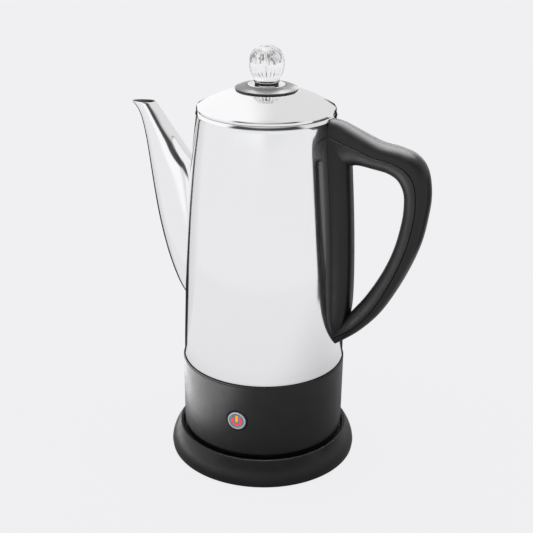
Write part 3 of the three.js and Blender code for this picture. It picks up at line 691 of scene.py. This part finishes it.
def button_parts():
    """A silver cap with a blue-grey face and a glowing mark, inside a dark ring."""
    r, face, edge = BUTTON_RADIUS, BUTTON_FACE, COLLAR_RADIUS
    place, sides = button_place(), 96
    bezel = [
        (r + 0.4, 61.6, 0.2), (r + 1.3, 61.6, 0.2), (r + 1.3, edge - 0.1, 0.3),
        (r + 0.9, edge - 0.1, 0.2), (r + 0.4, edge - 0.7, 0.2),
    ]
    turned("button_ring", bezel, "jug", "dark_plastic", "button_bezel", sides, place, 3)
    cap = [
        (0, 55), (2.4, 55, 0.4), (2.4, 60, 0.4), (r, 60, 0.4), (r, face, 0.7),
        (r - 1.5, face, 0.5), (r - 1.7, face - 0.9, 0.2), (0, face - 1.3),
    ]
    turned("button_cap", cap, "button", "button_silver", "power_button", sides, place)
    disc = [(0, face - 1), (r - 2, face - 1, 0.1), (r - 2, face - 0.5, 0.25), (0, face - 0.35)]
    turned("button_disc", disc, "button", "button_face", "button_lens", sides, place)
    marks = ((power_ring(), "red", (0.78, 0.045, 0.03)), (power_stroke(), "amber", (1.0, 0.33, 0.02)))
    for mark, color, glow in marks:
        dress(mark, "button", "button_face", material=lit_symbol("glow_" + color, glow))


def power_ring():
    """An open ring with round ends, standing just off the face."""
    opening = math.radians(42)
    radius, half, steps = 3.4, 0.6, 48
    start, sweep = math.pi / 2 + opening, 2 * math.pi - 2 * opening
    turns = [start + sweep * i / steps for i in range(steps + 1)]
    return ribbon("power_ring", [Vector((radius * math.cos(t), radius * math.sin(t))) for t in turns], half)


def power_stroke():
    """A short upright stroke with round ends."""
    half, low, high = 0.85, -1.1, 4.6
    return ribbon("power_stroke", [Vector((0, low + half)), Vector((0, high - half))], half)


def ribbon(name, line, half, ends=10):
    """A flat mark of constant width along a line on the button's face."""
    sides = []
    for i, point in enumerate(line):
        ahead = (line[min(i + 1, len(line) - 1)] - line[max(i - 1, 0)]).normalized()
        sides.append((point, ahead, Vector((-ahead.y, ahead.x))))

    def cap(point, ahead, across):
        turns = [math.pi * k / ends for k in range(1, ends)]
        return [point + across * half * math.cos(t) + ahead * half * math.sin(t) for t in turns]

    point, ahead, across = sides[0]
    left = [p + n * half for p, _, n in sides]
    right = [p - n * half for p, _, n in sides]
    outline = left + cap(*sides[-1]) + right[::-1] + cap(point, -ahead, -across)
    heights = (BUTTON_FACE - 0.6, BUTTON_FACE - 0.2)
    return loft(name, [[(p.x, p.y, z) for p in outline] for z in heights], place=button_place())


# ---- Vessel, spout and strainer ----

VESSEL_CURVE = smooth(
    [
        (64.4, 84.6), (64.2, 98), (63.2, 130), (62.2, 165), (60.3, 203), (57.4, 240), (54.9, 262),
        (52.7, VESSEL_RIM),
    ],
    10,
)
VESSEL_WALL = 0.8


def vessel_radius(z):
    for low, high in zip(VESSEL_CURVE, VESSEL_CURVE[1:]):
        if low.y <= z <= high.y:
            return low.x + (high.x - low.x) * (z - low.y) / (high.y - low.y)
    return VESSEL_CURVE[0].x if z < VESSEL_CURVE[0].y else VESSEL_CURVE[-1].x


def strainer():
    """Cutters for the holes that lead into the spout."""
    rows, across, pitch, rise, lowest, radius = 7, 4, 6.4, 6.6, 164, 1.7
    holes = []
    for row in range(rows):
        count = across - row % 2
        for column in range(count):
            y, z = (column - (count - 1) / 2) * pitch, lowest + row * rise
            holes.append(cylinder((-70, y, z), (-50, y, z), radius, 16))
    return holes


def vessel():
    """The steel body: a drawn floor, a slightly barrelled wall and a rolled rim."""
    inside = [Vector((p.x - VESSEL_WALL, p.y)) for p in VESSEL_CURVE[::-1]]
    rim, top = VESSEL_CURVE[-1].x, BEAD_TOP
    bead = rounded(
        [
            (rim, VESSEL_RIM, 0), (rim + 0.1, VESSEL_RIM + 0.5, 0.3), (rim + 0.7, VESSEL_RIM + 0.7, 0.5),
            (rim - 0.7, top, 0.8), (rim - 2.4, top, 0.4), (rim - 2.4, top - 1.4, 0),
        ]
    )[1:]
    foot, floor = VESSEL_FOOT, VESSEL_FOOT + 1
    bottom = rounded(
        [(0, foot - 5), (0, foot), (62.4, foot, 1.2), (62.4, 82.2, 0.3), (64.4, 82.2, 1.6),
         (*VESSEL_CURVE[0], 0)]
    )[1:-1]
    basin = [(61.6, 82), (61.6, floor + 4), (60.4, floor + 1.2), (57, floor), (0, floor)]
    shell = [*bottom, *VESSEL_CURVE, *bead, *inside, *(Vector(p) for p in basin)]
    body = spin("vessel_body", shell, FINE_SIDES)
    cut(body, *strainer())
    dress(body, "jug", "polished_steel", ["vessel"])


# Stations up the spout: height, keel and ridge distances from the axis, and half-width.
SPOUT_STATIONS = smooth(
    [
        (114, 60, 44, 9), (122, 68.4, 42, 16), (134, 77, 42, 20), (155, 86.3, 46, 20.5),
        (180, 94.2, 50, 18.6), (205, 99.6, 55, 16), (230, 103.8, 62.6, 13), (248, 106.8, 75.2, 10.2),
        (264, 110.6, 88.4, 8), (272, 114.6, 94.6, 6.7), (SPOUT_TOP - 0.3, SPOUT_REACH, 98.8, 5.9),
    ],
    7,
)
SPOUT_CORNERS = 72
SPOUT_WALL = 0.6


def spout_ring(station, inset, lift=0.0):
    """One egg-shaped level of the spout, narrower towards the keel and tipped back at the mouth."""
    z, keel, ridge, half_width = station
    middle, reach, width = (keel + ridge) / 2, (keel - ridge) / 2 - inset, half_width - inset
    tip = max(0.0, (z - 262) / (SPOUT_TOP - 262)) * 0.45
    ring = []
    for k in range(SPOUT_CORNERS):
        turn = 2 * math.pi * k / SPOUT_CORNERS
        taper = 1 - 0.22 * math.cos(turn)
        ring.append((
            -(middle + reach * math.cos(turn)),
            width * math.sin(turn) * taper,
            z - tip * math.cos(turn) + lift,
        ))
    return ring


def vessel_envelope(grow, curve, top):
    """A cutter that fills the vessel: its curve moved outwards, with the corners of its top."""
    side = [(p.x + grow, p.y) for p in curve]
    return spin("envelope", [(0, 70), (side[0][0], 70), *side, *top], FINE_SIDES)


def spout():
    """A thin hollow spout with a rounded lip, welded on the body, rougher inside and darkened there with
    painted shade.
    """
    mouth, lip_rise = SPOUT_STATIONS[-1], 0.3
    outside = [spout_ring(s, 0) for s in SPOUT_STATIONS]
    lip = [spout_ring(mouth, SPOUT_WALL * share, lip_rise) for share in (0.3, 0.7)]
    inside = [spout_ring(s, SPOUT_WALL) for s in SPOUT_STATIONS[::-1]]
    skin = loft("spout_tube", [*outside, *lip, *inside], closed_ends=False)
    # The inner faces get a dark steel whose colour is painted shade inside the tube.
    for material in (MATERIALS["polished_steel"], spout_inside_painted_shade()):
        skin.data.materials.append(material)
    for face in skin.data.polygons[(len(outside) + 1) * SPOUT_CORNERS:]:
        face.material_index = 1
    sunk = -0.5
    rim = VESSEL_CURVE[-1].x + sunk
    cut(skin, vessel_envelope(sunk, VESSEL_CURVE, [(rim, 290), (0, 290)]))
    dress(skin, "jug", "polished_steel", ["spout"], sharp=40)


# ---- Handle ----

# Stations round the loop, from inside the rim to the tip: outer edge, inner edge, half-width, and
# the parting line's offset outwards as a share of the half-thickness.
HANDLE_STATIONS = smooth(
    [
        (50, 283.4, 54, 247, 7.8, 0.33), (61, 282.6, 66, 248.5, 8.8, 0.17),
        (72.2, 278.6, 76, 251, 9.6, 0.06), (92, 271.1, 89, 250, 10, 0.01),
        (109, 268.4, 99.8, 248.4, 10, 0), (121.2, 264, 107.4, 244.4, 10, 0.04),
        (128.9, 254, 112, 236.8, 10, 0.12), (HANDLE_REACH, 238, 113.2, 227.6, 10, 0.14),
        (131.4, 221, 112.4, 214.2, 10, 0.18), (126.8, 196.4, 107.9, 193, 10, 0.17),
        (115.9, 168, 99.8, 172, 10, 0.23), (100.3, 139, 87.8, 150.4, 10, 0.34),
        (84, 119.7, 76, 134, 9.4, 0.38), (67.6, 106, 66.5, 122, 6.4, 0.2),
        (58, 99, 58, 114, 4, 0.2),
    ],
    8,
)
SECTION_POWER = 2.4
SEAM_GAP = 0.12
SEAM_EDGE = 0.35
SHELL_WALL = 2.4
SEAM_STEP = 0.7  # how far the joint slants outwards through the wall, so that no light passes


def bent(value, power):
    """A value raised to a power, with its sign kept; it bends a circle into a superellipse."""
    return math.copysign(abs(value) ** power, value)


def half_section(station, side, inset, edge=0.0, step=0.0):
    """A station's section on one side of the parting line, from one seam edge to the other. An
    edge takes off its two corners at the seam."""
    outer, inner = Vector((station[0], 0, station[1])), Vector((station[2], 0, station[3]))
    middle, across = (outer + inner) / 2, (outer - inner)
    half, width = across.length / 2 - inset, station[4] - inset
    across.normalize()
    share = side * (station[5] * (half + inset) + side * SEAM_GAP + step) / half
    start = math.acos(bent(share, SECTION_POWER / 2))
    steps = 20
    corners = []
    for k in range(steps + 1):
        turn = start - 2 * start * k / steps
        u = side * half * bent(math.cos(turn), 2 / SECTION_POWER)
        v = width * bent(math.sin(turn), 2 / SECTION_POWER)
        spots = [(u, v)]
        if edge and k in (0, steps):
            spots = [(u, v * (1 - edge / width)), (u + side * edge, v)]
        if k == steps:
            spots.reverse()
        corners += [middle + across * u + Vector((0, v, 0)) for u, v in spots]
    return corners


def half_channel(name, side):
    """A hollow half of the handle's loop, with a slanting joint."""
    rings = [
        [*half_section(s, side, 0, SEAM_EDGE), *half_section(s, side, SHELL_WALL, step=SEAM_STEP)[::-1]]
        for s in HANDLE_STATIONS
    ]
    return loft(name, rings)


# The spine's levels: height, half-width and front face.
SPINE_LEVELS = smooth(
    [
        (104.6, 0.8, 64.6), (106, 1.4, 65.6), (109.5, 3.6, 67), (113.5, 6.2, 68.6),
        (120, 8.8, 71.2), (127, 9.9, 73.4), (141, 10.2, 75), (162, 10.2, 75.1),
        (188, 10.2, 74.2), (213, 10.1, 72.8), (240, 10, 70.8), (252, 9.5, 69.8),
        (262, 8.8, 68), (272, 7.4, 65), (278, 5, 61),
    ],
    5,
)
SPINE_POWER = 3


def spine_ring(level):
    """One level of the spine: a rounded front on flanks that run back into the vessel."""
    z, half, face = level
    back = math.sqrt(vessel_radius(z) ** 2 - half ** 2) - 2
    steps = 28
    ring = []
    for k in range(steps + 1):
        turn = math.pi * k / steps
        x = back + (face - back) * bent(math.sin(turn), 2 / SPINE_POWER)
        ring.append((x, half * bent(math.cos(turn), 2 / SPINE_POWER), z))
    return ring


def handle():
    """Two moulded shells that meet on a parting line, one of them with the spine on the body."""
    rim = LID_RADIUS + 0.9

    def inside_vessel():
        return vessel_envelope(0.1, VESSEL_CURVE[:-1], [(rim, VESSEL_RIM), (rim, 300), (0, 300)])

    inner = loft("handle_spine_shell", [spine_ring(level) for level in SPINE_LEVELS])
    outer_side = loft("block", [half_section(s, 1, -SEAM_GAP) for s in HANDLE_STATIONS])
    cut(inner, outer_side)
    combine(inner, half_channel("channel", -1), "UNION")
    cut(inner, inside_vessel())
    dress(inner, "jug", "black_plastic", ["handle_inner_shell"], sharp=30)
    outer = half_channel("handle_back_shell", 1)
    cut(outer, inside_vessel())
    dress(outer, "jug", "black_plastic", ["handle_outer_shell"], sharp=30)


# ---- Lid and knob ----

LID_CREASE = LID_BOTTOM + 2.7
DOME_RADIUS = 95.6
DOME_CENTRE = LID_CREASE - math.sqrt(DOME_RADIUS ** 2 - (LID_RADIUS - 0.8) ** 2)
KNOB_HOLE = 8.6


def dome_height(r, inset=0.0):
    return DOME_CENTRE + math.sqrt((DOME_RADIUS - inset) ** 2 - r * r)


def lid():
    """The polished dome, with a narrow skirt and a soft crease above it."""
    r, bottom, wall, steps = LID_RADIUS, LID_BOTTOM, 0.8, 24
    reaches = [r - 1.4 - (r - 1.4 - KNOB_HOLE) * k / steps for k in range(steps + 1)]
    outside = [(x, dome_height(x)) for x in reaches]
    inside = [(x, dome_height(x, wall)) for x in reaches[::-1]]
    skirt = rounded(
        [
            inside[-1],
            (r - 1, LID_CREASE - 0.6, 0.4),
            (r - 0.9, bottom, 0.3),
            (r, bottom, 0.35),
            (r - 0.1, LID_CREASE - 1.1, 0.3),
            (r - 0.65, LID_CREASE - 0.1, 0.3),
            outside[0],
        ],
        6,
    )[1:-1]
    dome = spin("lid_shell", [*inside, *skirt, *outside], FINE_SIDES)
    dress(dome, "lid", "polished_steel", ["lid_dome"])
    plug = [
        (48.6, 266, 0.3), (49.4, 266, 0.3), (49.4, bottom, 0.5), (r - 1.4, bottom, 0.3),
        (r - 1.4, bottom + 0.8, 0.3), (48.6, bottom + 0.8, 0.6),
    ]
    turned("lid_plug_ring", plug, "lid", "plain_steel", "lid_inner_skirt", steps=4)
    washer("lid_seal", 49.7, "lid_gasket", (0.3, 0.7), "lid", "silicone")


def knob_mounting():
    """The black ring, the bright washer, the gasket and the ring that holds the knob."""
    r = RING_RADIUS
    ring = [
        (r - 0.2, RING_BOTTOM, 0.2),
        (r, RING_BOTTOM + 1.1, 0.5),
        (r - 3.8, RING_TOP - 1.05, 4),
        (SEAT_RADIUS + 1.1, RING_TOP, 0.4),
        (SEAT_RADIUS + 0.3, RING_TOP - 0.3, 0.2),
        (SEAT_RADIUS + 0.3, dome_height(SEAT_RADIUS) + 0.1, 0),
        (r - 6, dome_height(r - 6) + 0.1, 0),
    ]
    # The knob ring is black plastic; its lighter grey colour is a painted sheen where its top catches the
    # overhead light.
    turned("knob_plate", ring, "lid", "black_plastic", "knob_ring", steps=6, material=ring_plastic_painted_sheen())
    seat = [
        (KNOB_HOLE, SEAT_BOTTOM, 0.1), (SEAT_RADIUS, SEAT_BOTTOM, 0.1),
        (SEAT_RADIUS, SEAT_TOP, 0.35), (13.2, SEAT_TOP, 0.5), (11.4, SEAT_TOP - 0.4, 0.6),
        (KNOB_HOLE, SEAT_TOP - 0.35, 0.2),
    ]
    turned("knob_washer", seat, "lid", "polished_steel", "knob_seat")
    washer("knob_nut", 8.5, "knob_retainer", (0.4, 0.6), "lid", "plain_steel", 6)
    washer("knob_seal", 8.3, "knob_gasket", (0.3, 0.6), "knob", "rubber", SOME_SIDES, 0.8)


FLUTES = 22
FLUTE_DEPTH = 1.2


def knob():
    """A clear bulb, smooth outside and fluted in its hollow, on a plain neck."""
    neck, hollow_top = 304.6, 327.4
    outside = smooth(
        [
            (9.6, neck + 1.2), (9.7, 306.6), (11.4, 309.8), (12.9, 314), (KNOB_RADIUS, 318.4),
            (12.75, 323), (10.9, 326.9), (7.4, 329.8), (3.4, KNOB_TOP - 0.25), (0, KNOB_TOP),
        ],
        6,
    )
    foot = rounded([(6.6, KNOB_FOOT, 0.4), (8, KNOB_FOOT, 0.5), (8, neck, 0.2), (9.7, neck, 0.5),
                    (9.6, neck + 1.2, 0)], 4)[:-1]
    hollow = smooth(
        [
            (0, hollow_top), (4.6, 326.7), (8.6, 323.4), (9.9, 318.4), (9.2, 313.4), (7.1, 309),
            (6.6, 306),
        ],
        5,
    )
    inner = {(p.x, p.y) for p in hollow}

    def fluted(r, z, angle):
        """Flutes in the hollow only, which fade out at its crown and its neck."""
        if (r, z) not in inner:
            return r
        rise = max(0.0, min(1.0, (z - 307) / 4)) * max(0.0, min(1.0, (hollow_top - z) / 2))
        return r - FLUTE_DEPTH * rise * abs(math.sin(FLUTES * angle / 2)) * r / KNOB_RADIUS

    bulb = spin("knob_bulb", [*hollow, *foot, *outside], FLUTES * 12, shape=fluted)
    dress(bulb, "knob", "clear_plastic", ["clear_knob"], sharp=60)


# ---- Brewing parts ----

def drill(obj, cutters):
    """Cuts many small holes in one go."""
    first, rest = cutters[0], cutters[1:]
    work = bmesh.new()
    work.from_mesh(first.data)
    for cutter in rest:
        work.from_mesh(cutter.data)
        bpy.data.objects.remove(cutter)
    work.to_mesh(first.data)
    work.free()
    cut(obj, first)


# Rings of holes in the basket and the spreader: radius and number of holes.
HOLE_CIRCLES = [(10, 12), (15, 18), (20, 24), (25, 30), (30, 36), (35, 42)]
HOLE_RADIUS = 0.9


def perforate(obj, bottom):
    """Drills the rings of holes through a sheet whose underside is at a height."""
    holes = []
    for reach, count in HOLE_CIRCLES:
        for k in range(count):
            turn = 2 * math.pi * k / count
            x, y = reach * math.cos(turn), reach * math.sin(turn)
            holes.append(cylinder((x, y, bottom - 2), (x, y, bottom + 3), HOLE_RADIUS, 10))
    drill(obj, holes)


def basket():
    """The basket for the grounds, with its centre tube."""
    radius, bottom, rim = round_size("brew_basket")
    wall, tube_top = 0.8, 262
    outline = [
        (5, bottom, 0), (41, bottom, 2.5), (44, bottom + 3, 2.5), (44.6, rim - wall, 0.8),
        (radius, rim - wall, 0.3), (radius, rim, 0.3), (43.8, rim, 0.8), (43.2, bottom + 3.6, 2),
        (40.4, bottom + wall, 2), (5.8, bottom + wall, 0.6), (5.8, tube_top, 0.2), (5, tube_top, 0.2),
    ]
    cup = spin("grounds_basket", rounded(outline))
    perforate(cup, bottom)
    dress(cup, "basket", "aluminium", ["brew_basket", "basket_tube"])


def spreader():
    """The perforated plate that spreads the water over the grounds."""
    radius, bottom, top = round_size("basket_cover")
    outline = [
        (4.5, bottom, 0.2), (42.6, bottom, 1), (42.6, top - 0.9, 0.5), (radius, top - 0.9, 0.3),
        (radius, top, 0.3), (42, top, 0.9), (41.8, bottom + 0.8, 0.9), (4.5, bottom + 0.8, 0.2),
    ]
    plate = spin("water_spreader", rounded(outline))
    perforate(plate, bottom)
    dress(plate, "cover", "aluminium", ["basket_cover"])


def pump():
    """The riser tube, its stop collar, the bell foot and the loose valve disc."""
    _, bottom, top = round_size("pump_stem")
    tube = [(3, bottom, 0), (4, bottom, 0), (4, top, 0.4), (3, top, 0.4)]
    turned("riser_tube", tube, "pump", "plain_steel", "pump_stem", FEW_SIDES, steps=4)
    washer("stop_collar", 4.2, "basket_stop", (0.3, 0.8), "pump", "plain_steel", FEW_SIDES)
    rim = millimetres("pump_foot")[0].z
    bell = [
        (24, rim, 0.2), (24, rim + 1.2, 0.5), (13, 91, 8), (6, 95.4, 2), (5.4, 104, 0.4),
        (4.3, 104, 0.2), (4.3, 96.6, 0.2), (2.4, 96.6, 0.2), (2.4, 93.4, 0.3), (12, 89.6, 6),
        (22.6, rim + 0.8, 0.2), (22.6, rim, 0.2),
    ]
    foot = spin("bell_foot", rounded(bell), SOME_SIDES)
    slots, slot_radius, count = [], 1.9, 6
    for k in range(count):
        turn = 2 * math.pi * k / count
        middle = Vector((23.5 * math.cos(turn), 23.5 * math.sin(turn), rim))
        out = Vector((math.cos(turn), math.sin(turn), 0)) * 4
        slots.append(cylinder(middle - out, middle + out, slot_radius, 16))
    drill(foot, slots)
    dress(foot, "pump", "plain_steel", ["pump_foot"])
    washer("valve_disc", 1.5, "pump_valve", (0.1, 0.2), "valve", "plain_steel", FEW_SIDES, steps=3)


# ---- Pieces kept from the frame ----

KEPT = {
    "plain_steel": ["heater_ring", "handle_bracket_upper", "handle_bracket_lower",
                    "handle_screw_upper", "handle_screw_lower", "button_spring"],
    "brass": ["coupler_centre_pin", "coupler_neutral_blade", "coupler_earth_blade",
              "heater_terminal_1", "heater_terminal_2"],
    "aluminium": ["heater_plate"],
    "dark_plastic": ["keep_warm_thermostat", "switch_module", "lead_live"],
    "cream_plastic": ["brew_thermostat", "thermal_fuse", "lead_neutral"],
    "silicone": ["collar_seal"],
}


def finish_kept():
    """Gives the hidden inner pieces, whose CAD shape is right, their detailed materials."""
    for slot, names in KEPT.items():
        for name in names:
            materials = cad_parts[name].data.materials
            materials.clear()
            materials.append(MATERIALS[slot])


# ---- Studio ----

CAMERA_TURN = math.radians(26.5)
CAMERA_DISTANCE = 775.4
CAMERA_HEIGHT = 472.5
CAMERA_PITCH = 0.3874
CAMERA_YAW = 0.0019
CAMERA_ROLL = 0.012
LENS = 71.1


def camera():
    """A camera in front of the jug, above it and a little to its right."""
    turn = Matrix.Rotation(CAMERA_TURN, 4, "Z")
    spot = turn @ Vector((0, -CAMERA_DISTANCE, CAMERA_HEIGHT))
    pose = (
        Matrix.Rotation(CAMERA_TURN - CAMERA_YAW, 4, "Z")
        @ Matrix.Rotation(math.pi / 2 - CAMERA_PITCH, 4, "X")
        @ Matrix.Rotation(CAMERA_ROLL, 4, "Z")
    )
    data = bpy.data.cameras.new("camera")
    data.lens = LENS
    data.sensor_width = 36
    data.clip_end = 50
    eye = bpy.data.objects.new("camera", data)
    eye.matrix_world = Matrix.Translation(spot * MM + ORIGIN) @ pose
    bpy.context.scene.collection.objects.link(eye)
    bpy.context.scene.camera = eye


PALE = (0.871, 0.871, 0.888)
FLOOR_GLOW = 0.955
SKY_LEVEL = 1.27


def floor():
    """A plain pale sweep that is mostly lit from within, so that shadows stay faint."""
    half = 12000
    corners = [(x, y, TABLE) for x in (-half, half) for y in (-half, half)]
    obj = make("floor", corners, [(0, 2, 3, 1)])
    paint = Paint(
        "floor", (0.05, 0.05, 0.05), 1, Specular_IOR_Level=0, Emission_Color=(*PALE, 1),
        Emission_Strength=FLOOR_GLOW,
    )
    obj.data.materials.append(paint.material)


def direction(azimuth, elevation):
    """A unit vector; azimuth 0 is away from the camera, and 90 to its right."""
    turn, rise = math.radians(azimuth), math.radians(elevation)
    flat = Vector((math.sin(turn) * math.cos(rise), math.cos(turn) * math.cos(rise), math.sin(rise)))
    return Matrix.Rotation(CAMERA_TURN, 3, "Z") @ flat


def sky():
    """A white tent that shows in reflections and as light, and a plain pale background."""
    world = bpy.data.worlds.new("studio")
    bpy.context.scene.world = world
    world.use_nodes = True
    nodes = Nodes(world.node_tree)
    nodes.tree.nodes.clear()
    tent, plain = nodes.node("Background"), nodes.node("Background", Color=(*PALE, 1))
    nodes.link(tent_level(nodes), tent.inputs["Strength"])
    choose, out = nodes.node("MixShader"), nodes.node("OutputWorld")
    nodes.link(nodes.node("LightPath").outputs["Is Camera Ray"], choose.inputs[0])
    nodes.link(tent.outputs[0], choose.inputs[1])
    nodes.link(plain.outputs[0], choose.inputs[2])
    nodes.link(choose.outputs[0], out.inputs["Surface"])


def tent_level(nodes):
    """How bright the tent is: duller to the right and overhead, and dark high behind the camera."""
    look = nodes.node("TexCoord").outputs["Generated"]

    def toward(azimuth, elevation, start, end):
        """Rises smoothly from 0 to 1 as the view turns to a direction."""
        dot = nodes.node("VectorMath", operation="DOT_PRODUCT")
        dot.inputs[1].default_value = direction(azimuth, elevation)
        nodes.link(look, dot.inputs[0])
        return nodes.ramp(dot.outputs["Value"], start, end, kind="SMOOTHSTEP")

    def lessened(level, share, loss):
        left = nodes.compute("SUBTRACT", 1.0, nodes.compute("MULTIPLY", share, loss))
        return nodes.compute("MULTIPLY", level, left)

    level = lessened(SKY_LEVEL, toward(90, 0, -0.22, 0.12), 0.24)
    level = lessened(level, toward(180, 80, 0.9, 0.99), 0.27)
    behind = nodes.compute("MULTIPLY", toward(180, 0, 0.3, 0.5), toward(0, 90, 0.3, 0.38))
    behind = lessened(behind, toward(0, 90, 0.6, 0.76), 1.0)
    return lessened(level, behind, 0.93)


def glowing(name, levels):
    """A card's surface, whose light runs from one level to another along X."""
    paint = Paint(name, (0, 0, 0), 1, Specular_IOR_Level=0, Emission_Strength=1)
    parts = paint.node("SeparateXYZ")
    paint.link(paint.node("TexCoord").outputs["Generated"], parts.inputs[0])
    first, second = ((level, level, level) for level in levels)
    paint.vary_color(parts.outputs["X"], first, second, 0, 1, "Emission Color")
    return paint.material


def only_reflected(obj):
    """Marks a stage object that shows in reflections and nowhere else."""
    for ray in ("camera", "diffuse", "transmission", "shadow"):
        setattr(obj, f"visible_{ray}", False)


def card(name, start, end, heights, levels, spread=0):
    """An upright card between two spots right of and behind the jug, in millimetres, with its
    start spread further left at the top. It shows only in reflections."""
    turn = Matrix.Rotation(CAMERA_TURN, 4, "Z")
    corners = [Vector((*spot, z)) for z in heights for spot in (start, end)]
    corners[2].x -= spread
    obj = make(name, [turn @ corner for corner in corners], [(0, 1, 3, 2)])
    obj.data.materials.append(glowing(name, levels))
    only_reflected(obj)


def cards():
    """Dark and grey cards that draw the edges of the polished steel, and shades on the floor."""
    dark, grey = (0.02, 0.02), (0.13, 0.13)
    left_height, right_height = (TABLE, 285), (TABLE, 300)
    card("card_left", (-170, 150), (-70, 150), left_height, dark, 55)
    card("card_left_grey", (-520, 160), (-180, 160), left_height, (PALE[0], 0.7))
    card("card_right", (72, 150), (190, 150), right_height, dark)
    card("card_side", (260, -80), (260, 90), (60, 250), grey)
    floor_shades([((180, -40), 290, 0.25), ((0, 0), 260, 0.75), ((0, -60), 420, 0.05)], 520)


def floor_shades(shades, reach):
    """A disc just over the floor that only reflections see. Each shade dulls it round a spot by the
    jug: the spot, the shade's size and its loss of light."""
    disc = [(0, 0), (reach, 0), (reach, 0.1), (0, 0.1)]
    obj = spin("floor_shade", disc, FEW_SIDES, Matrix.Translation((0, 0, TABLE + 1)))
    paint = Paint("floor_shade", (0, 0, 0), 1, Specular_IOR_Level=0, Emission_Color=(*PALE, 1))
    point = paint.node("TexCoord").outputs["Object"]
    turn = Matrix.Rotation(CAMERA_TURN, 4, "Z")
    level = FLOOR_GLOW
    for (x, y), size, loss in shades:
        away = paint.node("VectorMath", operation="DISTANCE")
        away.inputs[1].default_value = turn @ Vector((x, y, TABLE + 1)) * MM + ORIGIN
        paint.link(point, away.inputs[0])
        fade = paint.ramp(away.outputs["Value"], 0, size * MM, 1 - loss, 1, "SMOOTHSTEP")
        level = paint.compute("MULTIPLY", level, fade)
    paint.link(level, paint.shader.inputs["Emission Strength"])
    obj.data.materials.append(paint.material)
    only_reflected(obj)


def lamp(name, spot, aim, size, power):
    """A soft lamp that lights only the black plastic; spots are right of, behind and above the jug."""
    turn = Matrix.Rotation(CAMERA_TURN, 4, "Z")
    data = bpy.data.lights.new(name, "AREA")
    data.shape = "RECTANGLE"
    data.size, data.size_y = (side * MM for side in size)
    data.energy = power
    obj = bpy.data.objects.new(name, data)
    spot, aim = Vector(spot), Vector(aim)
    pose = (aim - spot).to_track_quat("-Z", "Y").to_matrix().to_4x4()
    obj.matrix_world = Matrix.Translation(turn @ (spot * MM) + ORIGIN) @ turn @ pose
    obj.visible_camera = False
    bpy.context.scene.collection.objects.link(obj)
    obj.light_linking.receiver_collection = BLACK_PIECES


def lamps():
    lamp("low_left", (-300, -20, 4), (-300, -20, 400), (380, 560), 2.6)
    lamp("overhead", (60, 120, 800), (90, 0, 260), (700, 600), 15)
    lamp("back_right", (420, 800, 520), (90, 0, 200), (500, 500), 2.4)


def studio():
    bpy.context.scene.view_settings.view_transform = "Standard"
    bpy.context.scene.view_settings.look = "None"
    camera()
    floor()
    sky()
    cards()
    lamps()


# ---- Build ----

base_shell()
base_underside()
base_feet()
base_screws()
base_pillar()
inlet_grommet()
jug_socket()
collar()
collar_underside()
button_parts()
vessel()
spout()
handle()
lid()
knob_mounting()
knob()
basket()
spreader()
pump()
finish_kept()
studio()
